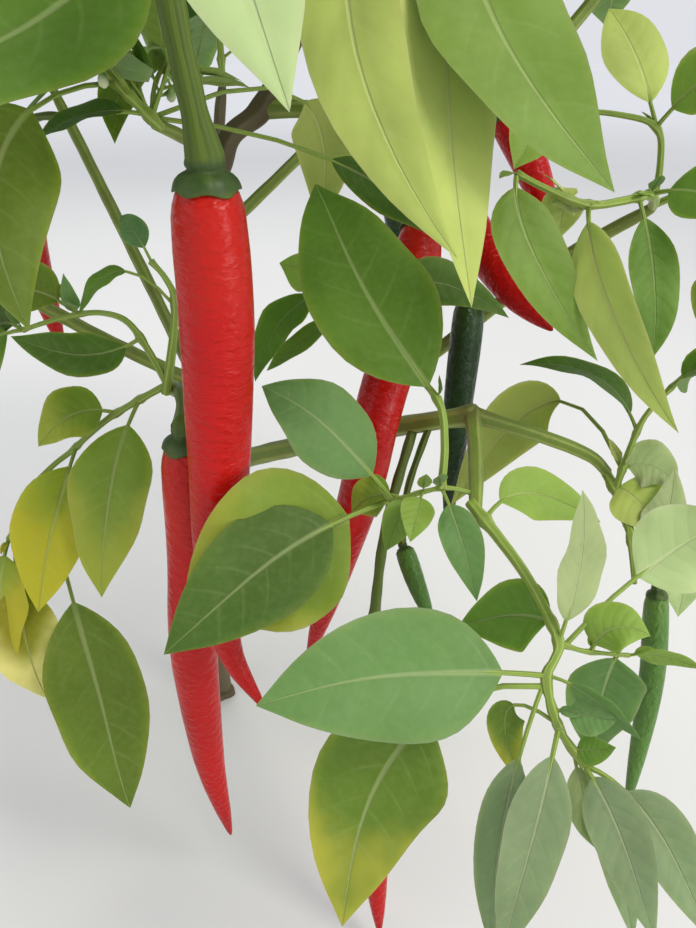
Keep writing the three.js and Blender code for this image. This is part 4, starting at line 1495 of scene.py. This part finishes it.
END_GAP = 1e-4
WELD = 1e-5


@dataclass(frozen=True)
class Stencil:
    """A small closed shape in shares of its size, to be placed many times."""

    flat: Array
    corners: Array
    sizes: Array
    skin: Array
    under: Array

    @classmethod
    def read(cls, work: bmesh.types.BMesh) -> "Stencil":
        """Keeps a finished shape's numbers and frees it.

        Args:
            work: The shape, with its skin's map and an under layer on its faces.

        Returns:
            The stencil.
        """
        skin = work.loops.layers.uv["skin"]
        under = work.faces.layers.int["under"]
        work.verts.index_update()
        flat = np.array([vert.co[:] for vert in work.verts])
        corners = np.array([vert.index for face in work.faces for vert in face.verts])
        sizes = np.array([len(face.verts) for face in work.faces])
        mapped = np.array([loop[skin].uv[:] for face in work.faces for loop in face.loops])
        sides = np.array([face[under] for face in work.faces])
        work.free()
        return cls(flat, corners, sizes, mapped, sides)


def flat_grid(columns: int, rows: int) -> bmesh.types.BMesh:
    """Starts a shape as a flat grid.

    Args:
        columns: Faces across.
        rows: Faces along.

    Returns:
        The grid, one unit each way, with its map and an empty under layer.
    """
    work = bmesh.new()
    work.loops.layers.uv.new("skin")
    work.faces.layers.int.new("under")
    bmesh.ops.create_grid(work, x_segments=columns, y_segments=rows, size=0.5, calc_uvs=True)
    return work


@cache
def tube_stencil(around: int, along: int) -> Stencil:
    """Makes a round bar with closed ends.

    Args:
        around: Faces round it.
        along: Faces from end to end.

    Returns:
        The stencil: cosine, sine and share of the length.
    """
    work = flat_grid(around, along)
    for vert in work.verts:
        angle, share = math.tau * (vert.co.x + 0.5), vert.co.y + 0.5
        girth = 1.0 if END_GAP < share < 1 - END_GAP else 0.0
        vert.co = (girth * math.cos(angle), girth * math.sin(angle), share)
    bmesh.ops.remove_doubles(work, verts=work.verts, dist=WELD)
    return Stencil.read(work)


@cache
def blade_stencil(across: int, along: int) -> Stencil:
    """Makes a leaf blade with an upper and an under side that meet all round its margin.

    Args:
        across: Faces across each side.
        along: Faces from base to tip.

    Returns:
        The stencil: share of the half-width, share of the length, and side.
    """
    work = flat_grid(across, along)
    skin, under = work.loops.layers.uv["skin"], work.faces.layers.int["under"]
    copied = bmesh.ops.duplicate(work, geom=[*work.verts, *work.edges, *work.faces])["geom"]
    below = [item for item in copied if isinstance(item, bmesh.types.BMFace)]
    bmesh.ops.reverse_faces(work, faces=below)
    for face in below:
        face[under] = 1
    lower = {vert for face in below for vert in face.verts}
    for vert in work.verts:
        x, share = vert.co.x * 2, vert.co.y + 0.5
        end = not END_GAP < share < 1 - END_GAP
        rim = end or abs(x) > 1 - END_GAP
        closer = share - 0.35 * math.sin(math.tau * share) / math.tau
        vert.co = (0.0 if end else x, closer, 0.0 if rim else (-1.0 if vert in lower else 1.0))
    bmesh.ops.remove_doubles(work, verts=work.verts, dist=WELD)
    for face in work.faces:
        for loop in face.loops:
            x, t, _ = loop.vert.co
            width = float(blade_width(np.array(max(0.0, min(1.0, t)))))
            loop[skin].uv = (0.5 + 0.5 * x * width, t)
    return Stencil.read(work)


class Heap:
    """Many small shapes joined into one piece."""

    START_CAP = 0.4
    END_CAP = 0.5
    SHARP_ANGLE = 70

    def __init__(self) -> None:
        """Starts an empty heap."""
        self.places: list[Array] = []
        self.marks: list[Array] = []
        self.corners: list[Array] = []
        self.sizes: list[Array] = []
        self.skins: list[Array] = []
        self.slots: list[Array] = []
        self.count = 0

    def add(self, stencil: Stencil, places: Array, upper: int = 0, under: int = 0,
            marks: Array | None = None) -> None:
        """Adds one shape.

        Args:
            stencil: The shape.
            places: Where its corners go, in millimetres.
            upper: The finish of its upper side, by number.
            under: The finish of its under side.
            marks: A number for each corner.
        """
        self.places.append(places)
        self.marks.append(np.zeros(len(places)) if marks is None else marks)
        self.corners.append(stencil.corners + self.count)
        self.sizes.append(stencil.sizes)
        self.skins.append(stencil.skin)
        self.slots.append(np.where(stencil.under == 1, under, upper))
        self.count += len(places)

    def bar(self, course: Course, stops: Array, radii: Array, around: int,
            marks: Array | None = None) -> None:
        """Adds a round bar with closed ends.

        Args:
            course: Its centre line.
            stops: Distances of its rings.
            radii: The radius at each ring.
            around: Faces round it.
            marks: A number for each ring.
        """
        full = np.concatenate([stops[:1] - radii[0] * self.START_CAP, stops,
                               stops[-1:] + radii[-1] * self.END_CAP])
        rings = np.concatenate([radii[:1], radii, radii[-1:]])
        stencil = tube_stencil(around, len(full) - 1)
        row = stencil.flat[:, 2] * (len(full) - 1)
        at = np.arange(len(full))
        centre, _, side, across = course.at(np.interp(row, at, full))
        radius = np.interp(row, at, rings)[:, None]
        places = centre + side * radius * stencil.flat[:, :1] + across * radius * stencil.flat[:, 1:2]
        if marks is not None:
            marks = np.interp(row, at, np.concatenate([marks[:1], marks, marks[-1:]]))
        self.add(stencil, places, marks=marks)

    def build(self, name: str, finishes: Sequence[Material]) -> Object:
        """Makes the piece.

        Args:
            name: Its name.
            finishes: Its finishes, by number.

        Returns:
            The piece.
        """
        places = np.concatenate(self.places) * MM
        corners, sizes = np.concatenate(self.corners), np.concatenate(self.sizes)
        used, slots = np.unique(np.concatenate(self.slots), return_inverse=True)
        mesh = bpy.data.meshes.new(name)
        mesh.vertices.add(len(places))
        mesh.vertices.foreach_set("co", places.ravel())
        mesh.loops.add(len(corners))
        mesh.loops.foreach_set("vertex_index", corners.astype(np.int32))
        mesh.polygons.add(len(sizes))
        mesh.polygons.foreach_set("loop_start", (np.cumsum(sizes) - sizes).astype(np.int32))
        mesh.polygons.foreach_set("material_index", slots.astype(np.int32))
        mesh.polygons.foreach_set("use_smooth", np.ones(len(sizes), bool))
        skin = mesh.uv_layers.new(name="skin")
        skin.data.foreach_set("uv", np.concatenate(self.skins).ravel())
        knot = mesh.attributes.new("knot", "FLOAT", "POINT")
        knot.data.foreach_set("value", np.concatenate(self.marks))
        mesh.update(calc_edges=True)
        mesh.set_sharp_from_angle(angle=math.radians(self.SHARP_ANGLE))
        for slot in used:
            mesh.materials.append(finishes[slot])
        return placed_piece(name, mesh)


class Fineness(Enum):
    """How finely a leaf is made: faces across, along, round its rib, and along that."""

    NEAR = (8, 18, 8, 14)
    CROWN = (4, 8, 5, 6)
    YOUNG = (4, 5, 3, 3)


@dataclass
class Leaf:
    """One leaf: a stalk, a midrib under the blade, and a folded and wavy blade."""

    root: Array
    tip: Array
    wide: float
    stalk: float
    roll: float
    bend: Array
    facing: Array
    tint: Tint
    fineness: Fineness
    fold: float = 0.16
    back: float = 0.45
    wave: float = 0.045
    half_thick: float = 0.09
    stalk_radius: float = 0.62
    rib_end: float = 0.9
    sway: float = 0.02
    control: Array = field(init=False)
    WAVES = (1.3, 2.6)
    SHIFTS = (0.6, 2.4)
    CURLS = (-0.05, 0.12)
    # The radius at the root, the blade's base, further up its rib and where that ends.
    RIB_RADII = (1.15, 0.95, 0.5, 0.16)
    RIB_MIDDLE = 0.6

    def __post_init__(self) -> None:
        """Works out the point that bends it."""
        self.control = (self.root + self.tip) / 2 + 2 * self.bend

    def frames(self, u: Array) -> tuple[Array, Array, Array]:
        """Gives places and directions along the leaf.

        Args:
            u: Shares of its whole length.

        Returns:
            The places, the ways across it, and the ways out of its upper side.
        """
        v = u[:, None]
        way = unit((self.control - self.root) * (1 - v) + (self.tip - self.control) * v)
        across = unit(np.cross(way, self.facing))
        roll = math.radians(self.roll)
        across = across * math.cos(roll) + np.cross(way, across) * math.sin(roll)
        centre = self.root * (1 - v) ** 2 + self.control * 2 * v * (1 - v) + self.tip * v * v
        return centre, across, np.cross(across, way)

    def keel(self, shares: Sequence[float]) -> Array:
        """Gives points on the back of the midrib, at shares of the blade."""
        centre, _, above = self.frames(self.stalk + (1 - self.stalk) * np.array(shares))
        return centre - above * self.back

    def grow(self, blades: Heap, ribs: Heap, chance: Chance) -> None:
        """Adds the leaf to its heaps.

        Args:
            blades: Where the blade goes.
            ribs: Where the stalk and midrib go.
            chance: Numbers for its waves.
        """
        across_faces, along_faces, around, rings = self.fineness.value
        stencil = blade_stencil(across_faces, along_faces)
        x, t, z = stencil.flat.T
        centre, across, above = self.frames(self.stalk + (1 - self.stalk) * t)
        half = self.wide / 2 * blade_width(np.clip(t, 0, 1))
        off = np.abs(x)
        turns = chance.between(*self.WAVES)
        phase, shift = chance.between(0, math.tau), chance.between(*self.SHIFTS)
        ripple = np.sin(math.tau * turns * t + phase + shift * (x > 0))
        curl = chance.between(*self.CURLS)
        rise = half * self.fold * off * (1.5 - 0.5 * off) - half * curl * off**3
        rise = rise + self.wide * self.wave * off**2 * ripple * np.sin(math.pi * np.clip(t, 0, 1))
        sway = self.wide * self.sway * np.sin(math.tau * t + phase)
        lift = rise + z * self.half_thick
        places = centre + across * (x * half + sway * t)[:, None] + above * lift[:, None]
        under = 1 if self.tint in BRIGHT_UNDERSIDES else 2 if self.tint in YELLOW_UNDERSIDES else 0
        blades.add(stencil, places, self.tint.value, len(Tint) + under)
        stalk_rings = np.linspace(0, self.stalk, max(rings // 3, 2))
        u = np.concatenate([stalk_rings, np.linspace(self.stalk, self.rib_end, rings + 1)[1:]])
        middle, _, out = self.frames(u)
        thick = self.stalk_radius * min(1.0, self.wide / 20 + 0.25)
        radii = np.interp(u, [0, self.stalk, self.RIB_MIDDLE, self.rib_end], self.RIB_RADII) * thick
        sink = np.interp(u, [0, self.stalk, self.stalk + 0.08], [0, 0.25, 0.75]) * radii
        line = Course(middle - out * sink[:, None])
        ribs.bar(line, line.reach, radii, around)


class Growth:
    """The crown's growth: each twig forks at its end, and bears leaves there and along itself."""

    LENGTHS = (46, 78)
    SLENDERNESS = (0.42, 0.52)
    DROOP = (0.05, 0.75)
    ROLL = 28
    LIFT = (0.05, 0.16)
    LEAN = 0.6
    REACH = 1.3
    STALK = 0.16
    LEVELS = 3
    FORKS = (3, 2)
    FIRST = 0.62
    SHORTENING = (0.8, 0.98)
    SAG = (0.02, 0.09)
    FORK_SPREAD = (0.6, 0.95)
    FORK_TURN = 1.3
    INWARD = 0.35
    PLACES = (0.2, 0.4, 0.6, 0.8)
    LEAF_TURN = 2.4
    SPREAD = (0.75, 1.25)
    END_SPREAD = (0.1, 0.4)
    END_PLACE = 0.06
    TINTS = (Tint.GREEN, Tint.MEADOW, Tint.DEEP, Tint.SHADE, Tint.FRESH, Tint.OLIVE, Tint.GREY,
             Tint.YELLOWING)
    WEIGHTS = (0.26, 0.20, 0.14, 0.08, 0.12, 0.10, 0.07, 0.03)
    COLOUR_SEED = 500

    def __init__(self, mass: Mass) -> None:
        """Grows a mass.

        Args:
            mass: Its space, its root and its seed.
        """
        self.middle = np.array(mass.middle, float)
        self.radii = np.array(mass.radii, float)
        self.chance = Chance(mass.seed)
        self.colours = Chance(mass.seed + self.COLOUR_SEED)
        self.leaves: list[Leaf] = []
        start = np.array(mass.root, float)
        self.shoots = [[start]]
        away = self.middle - start
        self.twig(self.shoots[0], unit(away), float(np.linalg.norm(away)) * self.FIRST, 0)

    def depth(self, place: Array) -> float:
        """Tells how far out in the space a place is: 1 on its surface."""
        return float(np.linalg.norm((place - self.middle) / self.radii))

    def leaf(self, root: Array, way: Array) -> None:
        """Grows a leaf, unless its tip would leave the space.

        Args:
            root: Where it leaves the twig.
            way: Which way it starts.
        """
        c = self.chance
        long = c.between(*self.LENGTHS)
        wide = long * c.between(*self.SLENDERNESS)
        droop = c.between(*self.DROOP)
        roll = c.between(-self.ROLL, self.ROLL)
        lift = c.between(*self.LIFT) * long
        made = arched_leaf(root, unit(way - UP * droop), long, wide, self.STALK, roll, lift,
                           self.colours.pick(self.TINTS, self.WEIGHTS), Fineness.CROWN)
        if self.depth(made.tip) <= self.REACH:
            self.leaves.append(made)

    def twig(self, shoot: list[Array], way: Array, length: float, level: int) -> None:
        """Grows one length of twig on to a shoot, then forks.

        Args:
            shoot: The shoot's points so far.
            way: Which way the new length runs.
            length: How long it is.
            level: How many forks lie behind it.
        """
        c = self.chance
        root = shoot[-1]
        end = root + way * length
        middle = (root + end) / 2 - UP * (c.between(*self.SAG) * length)
        shoot += [middle, end]
        turn = c.between(0, math.tau)
        for k, share in enumerate(self.PLACES):
            place = root + (middle - root) * share * 2 if share < 0.5 \
                else middle + (end - middle) * (share * 2 - 1)
            self.leaf(place, turned(way, c.between(*self.SPREAD), turn + k * self.LEAF_TURN))
        if level + 1 == self.LEVELS:
            self.leaf(end + (middle - end) * self.END_PLACE, turned(way, c.between(*self.END_SPREAD), turn))
            return
        forks = self.FORKS[level]
        for k in range(forks):
            angle = c.between(*self.FORK_SPREAD)
            onward = turned(way, angle, turn + self.FORK_TURN + math.tau * k / forks)
            onward = unit(onward + (self.middle - end) / self.radii * self.INWARD)
            carrier = [end] if k else shoot
            if k:
                self.shoots.append(carrier)
            self.twig(carrier, onward, length * c.between(*self.SHORTENING), level + 1)


def arched_leaf(root: Array, heading: Array, long: float, wide: float, stalk: float,
                roll: float, lift: float, tint: Tint, fineness: Fineness) -> Leaf:
    """Makes a leaf that arches upwards and turns its face to the light.

    Args:
        root: Where it starts.
        heading: Where its tip lies from there.
        long: Its length, stalk and all.
        wide: Its width.
        stalk: The stalk's share of the length.
        roll: How far it is rolled over, in degrees.
        lift: How far its middle stands above the straight line.
        tint: Its colour.
        fineness: How finely it is made.

    Returns:
        The leaf.
    """
    outward = np.array([heading[0], heading[1], 0.0])
    outward = SIDEWAYS if np.linalg.norm(outward) < 0.1 else unit(outward)
    facing = unit(UP + Growth.LEAN * outward)
    bend = (facing - heading * (facing @ heading)) * lift
    return Leaf(root, root + heading * long, wide, stalk, roll, bend, facing, tint, fineness)


class Solids:
    """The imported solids, which new growth keeps to and keeps clear of."""

    def __init__(self, nodes: dict[str, Object]) -> None:
        """Reads the solids.

        Args:
            nodes: The frame's nodes by name.
        """
        self.trees = {}
        for name, node in nodes.items():
            corners = [vert.co[:] for vert in node.data.vertices]
            faces = [face.vertices[:] for face in node.data.polygons]
            self.trees[name] = BVHTree.FromPolygons(corners, faces)
        self.firm = [tree for name, tree in self.trees.items() if not name.startswith("leaves_")]

    def off(self, name: str, places: Array) -> float:
        """Tells how far the furthest of some places lies from a solid's surface.

        Args:
            name: The solid.
            places: The places, in millimetres.

        Returns:
            The distance, in millimetres.
        """
        tree = self.trees[name]
        return max(tree.find_nearest(Vector(place * MM))[3] for place in places) / MM

    def free(self, places: Array, room: float) -> bool:
        """Tells whether places keep clear of every limb, pod and stalk.

        Args:
            places: The places, in millimetres.
            room: How clear, in millimetres.

        Returns:
            Whether they do.
        """
        return all(tree.find_nearest(Vector(place * MM), room * MM)[0] is None
                   for tree in self.firm for place in places)

    def open_way(self, start: Array, end: Array) -> bool:
        """Tells whether nothing stands between two places.

        Args:
            start: The first place, in millimetres.
            end: The second one.

        Returns:
            Whether the way is open.
        """
        reach = float(np.linalg.norm(end - start)) * MM
        way = Vector(unit(end - start))
        return all(tree.ray_cast(Vector(start * MM), way, reach)[0] is None for tree in self.trees.values())


@dataclass(frozen=True)
class Space:
    """Where young growth may go: inside a box, and clear of the solids."""

    solids: Solids
    low: Array
    high: Array

    @classmethod
    def about(cls, solids: Solids, node: str, margin: float) -> "Space":
        """Takes a solid's box.

        Args:
            solids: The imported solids.
            node: The solid.
            margin: How far the space reaches past it, in millimetres.

        Returns:
            The space.
        """
        low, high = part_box(node)
        return cls(solids, np.array(low) / MM - margin, np.array(high) / MM + margin)

    def holds(self, places: Array) -> bool:
        """Tells whether places lie inside the box."""
        return bool(np.all(places > self.low) and np.all(places < self.high))


@dataclass
class Foliage:
    """One spray or mass: its twigs, its leaves, and the young growth between them."""

    name: str
    lines: list[Array]
    leaves: list[Leaf]
    seed: int
    growth: Growth | None = None
    first_radii: tuple[float, float] = (1.6, 0.8)
    shoot_radii: tuple[float, float] = (1.15, 0.7)
    sunk: float = 3.0
    swell: float = 0.45
    swell_length: float = 1.5
    short_twig: float = 25.0
    short_radii: tuple[float, float] = (0.75, 0.45)
    ring_gap: float = 1.6
    young_share: float = 0.62
    young_lengths: tuple[float, float] = (17, 36)
    sprig_lengths: tuple[float, float] = (8, 19)
    buds: int = 5
    spray_share: float = 0.45
    spray_lengths: tuple[float, float] = (5, 11)
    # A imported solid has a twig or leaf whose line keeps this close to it, in millimetres.
    TWIG_FIT = 1.9
    LEAF_FIT = 0.9
    MARGIN = 3.0
    SPROUT_SEED = 900
    BUILD_SEED = 300
    ANY_TURN = (0, 6.28)
    YOUNG_SLENDERNESS = (0.36, 0.48)
    YOUNG_STALK = 0.2
    YOUNG_ROLL = 30
    YOUNG_LIFT = (0.05, 0.14)
    YOUNG_TINTS = (Tint.FRESH, Tint.GREEN, Tint.BRIGHT)
    YOUNG_WEIGHTS = (0.5, 0.3, 0.2)
    SPRIG_LEAVES = 4
    SPRIG_SPREAD = (0.5, 1.2)
    SPRIG_END_SPREAD = (0.1, 0.4)
    SPRIG_ROOM = 1.6
    BUD_ROOM = 2.5
    BUD_LENGTH = 9
    BUD_SHARES = (0, 0.25, 0.5, 0.6, 0.66, 0.72, 0.79, 0.86, 0.93, 0.98, 1.0)
    BUD_RADII = (0.42, 0.40, 0.45, 0.55, 0.95, 1.25, 1.45, 1.45, 1.15, 0.65, 0.25)
    BUD_AROUND = 10

    @property
    def node(self) -> str:
        """Names the solid that it stands for."""
        return f"leaves_{self.name}"

    @classmethod
    def of_spray(cls, spray: Spray) -> "Foliage":
        """Takes a spray as it is placed.

        Args:
            spray: The spray.

        Returns:
            Its foliage.
        """
        lines: list[Array] = []
        for path in spray.twigs:
            start = nearest_on(lines, np.array(path[0], float)) if lines else np.array(path[0], float)
            lines.append(smooth([start, *path[1:]], 2))
        return cls(spray.name, lines, set_leaves(spray.leaves, lines), name_number(spray.name))

    @classmethod
    def of_mass(cls, mass: Mass) -> "Foliage":
        """Grows a mass by its rule.

        Args:
            mass: The mass.

        Returns:
            Its foliage.
        """
        growth = Growth(mass)
        lines = [np.array(shoot) for shoot in growth.shoots]
        leaves = set_leaves(mass.leaves, lines) + growth.leaves
        return cls(mass.name, lines, leaves, mass.seed, growth)

    def keep_to(self, solids: Solids) -> None:
        """Drops each twig and leaf that the solid doesn't have.

        Args:
            solids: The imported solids.
        """
        kept = [line for line in self.lines
                if solids.off(self.node, smooth(line[1:], 3)) < self.TWIG_FIT]
        self.lines = kept or self.lines[:1]
        self.leaves = [
            leaf for leaf in self.leaves
            if solids.off(self.node, np.vstack([leaf.keel((0.3, 0.6)), leaf.tip])) < self.LEAF_FIT]

    def sprout(self, solids: Solids, buds: Heap) -> None:
        """Grows young shoots and flower buds in the angles between twigs and leaves.

        Args:
            solids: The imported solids.
            buds: Where the buds go.
        """
        chance = Chance(self.seed + self.SPROUT_SEED)
        space = Space.about(solids, self.node, self.MARGIN)
        left = self.buds if self.growth else 0
        for old in list(self.leaves):
            if chance.between(0, 1) > (self.young_share if self.growth else self.spray_share):
                continue
            heading = unit(old.control - old.root)
            if self.growth:
                left -= self.sprig(old.root, heading, chance, space, buds if left else None)
            else:
                way = turned(unit(heading + UP * 0.8), chance.between(0.2, 0.7),
                             chance.between(*self.ANY_TURN))
                long = chance.between(*self.spray_lengths)
                self.young_leaf(old.root, way, long, old.tint, chance, space)

    def young_leaf(self, root: Array, way: Array, long: float, tint: Tint, chance: Chance,
                   space: Space) -> None:
        """Adds a young leaf where there is room for it.

        Args:
            root: Where it starts.
            way: Where it points.
            long: Its length.
            tint: Its colour.
            chance: Numbers for its shape.
            space: Where it may go.
        """
        wide = long * chance.between(*self.YOUNG_SLENDERNESS)
        made = arched_leaf(root, way, long, wide, self.YOUNG_STALK,
                           chance.between(-self.YOUNG_ROLL, self.YOUNG_ROLL),
                           chance.between(*self.YOUNG_LIFT) * long, tint, Fineness.YOUNG)
        spots = np.vstack([made.frames(np.array([0.5, 0.75]))[0], made.tip])
        if space.holds(spots) and space.solids.free(spots, wide * 0.3) \
                and space.solids.open_way(root + (made.tip - root) * 0.2, made.tip):
            self.leaves.append(made)

    def sprig(self, root: Array, heading: Array, chance: Chance, space: Space, buds: Heap | None) -> bool:
        """Grows a short shoot with a few young leaves.

        Args:
            root: The angle that it grows in.
            heading: How the leaf beside it runs.
            chance: Numbers for its shape.
            space: Where it may go.
            buds: Where a bud may go.

        Returns:
            Whether it bears a bud.
        """
        way = turned(unit(heading + UP * 0.9), chance.between(0.1, 0.6), chance.between(*self.ANY_TURN))
        long = chance.between(*self.sprig_lengths)
        end = root + way * long
        middle = (root + end) / 2 + turned(way, 1.5, chance.between(*self.ANY_TURN)) * long * 0.08
        if not space.solids.free(np.array([middle, end]), self.SPRIG_ROOM) \
                or not space.solids.open_way(root + way * 4, end + way * 2):
            return False
        self.lines.append(np.array([root, middle, end]))
        turn = chance.between(*self.ANY_TURN)
        for k in range(self.SPRIG_LEAVES):
            place = middle + (end - middle) * (0.2 + 0.27 * k)
            last = k + 1 == self.SPRIG_LEAVES
            spread = chance.between(*(self.SPRIG_END_SPREAD if last else self.SPRIG_SPREAD))
            onward = unit(turned(way, spread, turn + Growth.LEAF_TURN * k) - UP * chance.between(0, 0.35))
            size = chance.between(*self.young_lengths) * (1 - 0.14 * k)
            tint = chance.pick(self.YOUNG_TINTS, self.YOUNG_WEIGHTS)
            self.young_leaf(place, onward, size, tint, chance, space)
        if buds is None:
            return False
        drop = unit(turned(way, 1.0, turn) - UP * 0.8)
        tip = end + drop * self.BUD_LENGTH
        if not space.solids.free(np.array([tip]), self.BUD_ROOM) or not space.holds(tip):
            return False
        line = Course(smooth([end, end + unit(way + drop) * 3.5, tip], 6))
        buds.bar(line, np.array(self.BUD_SHARES) * line.length, np.array(self.BUD_RADII), self.BUD_AROUND)
        return True

    def build(self, blades_finishes: Sequence[Material], twig_finish: Material) -> list[Object]:
        """Makes the leaves and the twigs.

        Args:
            blades_finishes: The leaf finishes, by number.
            twig_finish: The twigs' finish.

        Returns:
            Both pieces.
        """
        chance = Chance(self.seed + self.BUILD_SEED)
        blades, twigs = Heap(), Heap()
        fine = [smooth(line, 5) for line in self.lines]
        for leaf in self.leaves:
            leaf.root = nearest_on(fine, leaf.root)
            leaf.grow(blades, twigs, chance)
        roots = np.array([leaf.root for leaf in self.leaves])
        for k, line in enumerate(fine):
            course = Course(line)
            low, high = self.first_radii if k == 0 else self.shoot_radii
            if course.length < self.short_twig:
                low, high = self.short_radii
            start = -self.sunk if k == 0 else 0.0
            rings = max(int((course.length - start) / self.ring_gap), 5)
            stops = np.linspace(start, course.length, rings)
            near = np.linalg.norm(course.at(stops)[0][:, None] - roots[None], axis=2).min(axis=1)
            knot = np.exp(-((near / self.swell_length) ** 2))
            radii = np.interp(stops, [0, course.length], [low, high]) * (1 + self.swell * knot)
            twigs.bar(course, stops, radii, 8 if self.growth is None else 6, marks=knot * 0.6)
        leafage = blades.build(f"foliage_{self.name}", blades_finishes)
        branching = twigs.build(f"twigs_{self.name}", [twig_finish])
        for piece, slot in ((leafage, "foliage"), (branching, "stem")):
            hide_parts(self.node)
        return [leafage, branching]


PLACED_FACING: Point = (0.0, -0.75, 0.65)


def set_leaves(rows: Sequence[Placed], lines: Sequence[Array]) -> list[Leaf]:
    """Sets the placed leaves on their twigs.

    Args:
        rows: The leaves as placed.
        lines: The twigs.

    Returns:
        The leaves, each moved on to the nearest twig.
    """
    facing = unit(np.array(PLACED_FACING))
    return [Leaf(nearest_on(lines, np.array(row.root, float)), np.array(row.tip, float), row.wide,
                 row.stalk, row.roll, np.array(row.bend, float), facing, row.tint, Fineness.NEAR)
            for row in rows]


@dataclass(frozen=True)
class Lamp:
    """A soft lamp that points at the plant's middle."""

    name: str
    place: Point
    size: float
    power: float
    colour: Colour
    aim: Point = (0.0, 0.0, 0.22)

    def build(self) -> None:
        """Hangs the lamp."""
        data = bpy.data.lights.new(self.name, "AREA")
        data.shape = "SQUARE"
        data.size = self.size
        data.energy = self.power
        data.color = self.colour
        lamp = bpy.data.objects.new(self.name, data)
        lamp.location = self.place
        lamp.visible_camera = False
        lamp.rotation_euler = (Vector(self.aim) - lamp.location).to_track_quat("-Z", "Y").to_euler()
        bpy.context.scene.collection.objects.link(lamp)


@dataclass
class Studio:
    """The floor, the lamps and the camera."""

    floor_size: float = 80.0
    camera_place: Point = (0.066, -0.302, 0.280)
    camera_tilt: float = 63.0
    picture: tuple[int, int] = (696, 928)
    focus: float = 800.0
    sensor: float = 36.0
    clip_start: float = 0.01
    sky: float = 0.8
    sky_colour: Colour = (0.93, 0.95, 1.0)
    lamps: tuple[Lamp, ...] = (
        Lamp("key_lamp", (0.75, -0.55, 1.15), 0.45, 8.5, (1.0, 0.97, 0.90)),
        Lamp("side_lamp", (0.85, -0.62, 0.26), 0.35, 2.2, (1.0, 0.98, 0.95)),
        Lamp("fill_lamp", (-1.1, -0.9, 0.8), 1.1, 2.5, (0.95, 0.98, 1.0)),
        Lamp("back_lamp", (-0.3, 1.1, 1.3), 0.9, 6.0, (1.0, 1.0, 0.94)),
    )

    def build(self) -> None:
        """Sets up the studio."""
        work = bmesh.new()
        bmesh.ops.create_grid(work, x_segments=1, y_segments=1, size=self.floor_size / 2)
        mesh = bpy.data.meshes.new("floor")
        work.to_mesh(mesh)
        work.free()
        mesh.materials.append(FloorFinish().material())
        floor = bpy.data.objects.new("floor", mesh)
        bpy.context.scene.collection.objects.link(floor)
        for lamp in self.lamps:
            lamp.build()
        world = bpy.data.worlds.new("soft_sky")
        world.use_nodes = True
        sky = world.node_tree.nodes["Background"]
        sky.inputs["Color"].default_value = (*self.sky_colour, 1.0)
        sky.inputs["Strength"].default_value = self.sky
        bpy.context.scene.world = world
        data = bpy.data.cameras.new("view")
        data.sensor_width = self.sensor
        data.lens = data.sensor_width * self.focus / max(self.picture)
        data.clip_start = self.clip_start
        camera = bpy.data.objects.new("view", data)
        camera.location = self.camera_place
        camera.rotation_euler = (math.radians(self.camera_tilt), 0.0, 0.0)
        bpy.context.scene.collection.objects.link(camera)
        bpy.context.scene.camera = camera
        bpy.context.scene.view_settings.view_transform = "Standard"


def main() -> None:
    """Builds the plant round its solids."""
    logging.basicConfig(level=logging.INFO, format="%(message)s")
    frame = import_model()
    Studio().build()
    bark = {age: finish.material() for age, finish in STEM_FINISHES.items()}
    skins = {ripeness: finish.material() for ripeness, finish in POD_FINISHES.items()}
    cap = CAP_FINISH.material()
    twig = TWIG_FINISH.material()
    leaf_finishes = [LEAF_FINISHES[tint].material() for tint in Tint]
    leaf_finishes += [finish.material() for finish in UNDER_FINISHES]
    pieces = [limb.build(LIMBS, bark) for limb in LIMBS]
    for pod in PODS:
        pieces += pod.build(LIMBS, skins, cap)
    solids = Solids(frame["nodes"])
    buds = Heap()
    foliage = [Foliage.of_spray(spray) for spray in SPRAYS] + [Foliage.of_mass(mass) for mass in CROWN]
    for growth in foliage:
        growth.keep_to(solids)
        kept = len(growth.leaves)
        growth.sprout(solids, buds)
        LOG.info("%s: %d twigs, %d leaves and %d young ones", growth.name, len(growth.lines), kept,
                 len(growth.leaves) - kept)
        pieces += growth.build(leaf_finishes, twig)
    bunch = buds.build("flower_buds", [BudFinish().material()])
    pieces.append(bunch)
    for piece in pieces:
        LOG.info("%s: %d faces", piece.name, len(piece.data.polygons))
    LOG.info("%d pieces, %d faces", len(pieces), sum(len(piece.data.polygons) for piece in pieces))


if __name__ == "__main__":
    main()
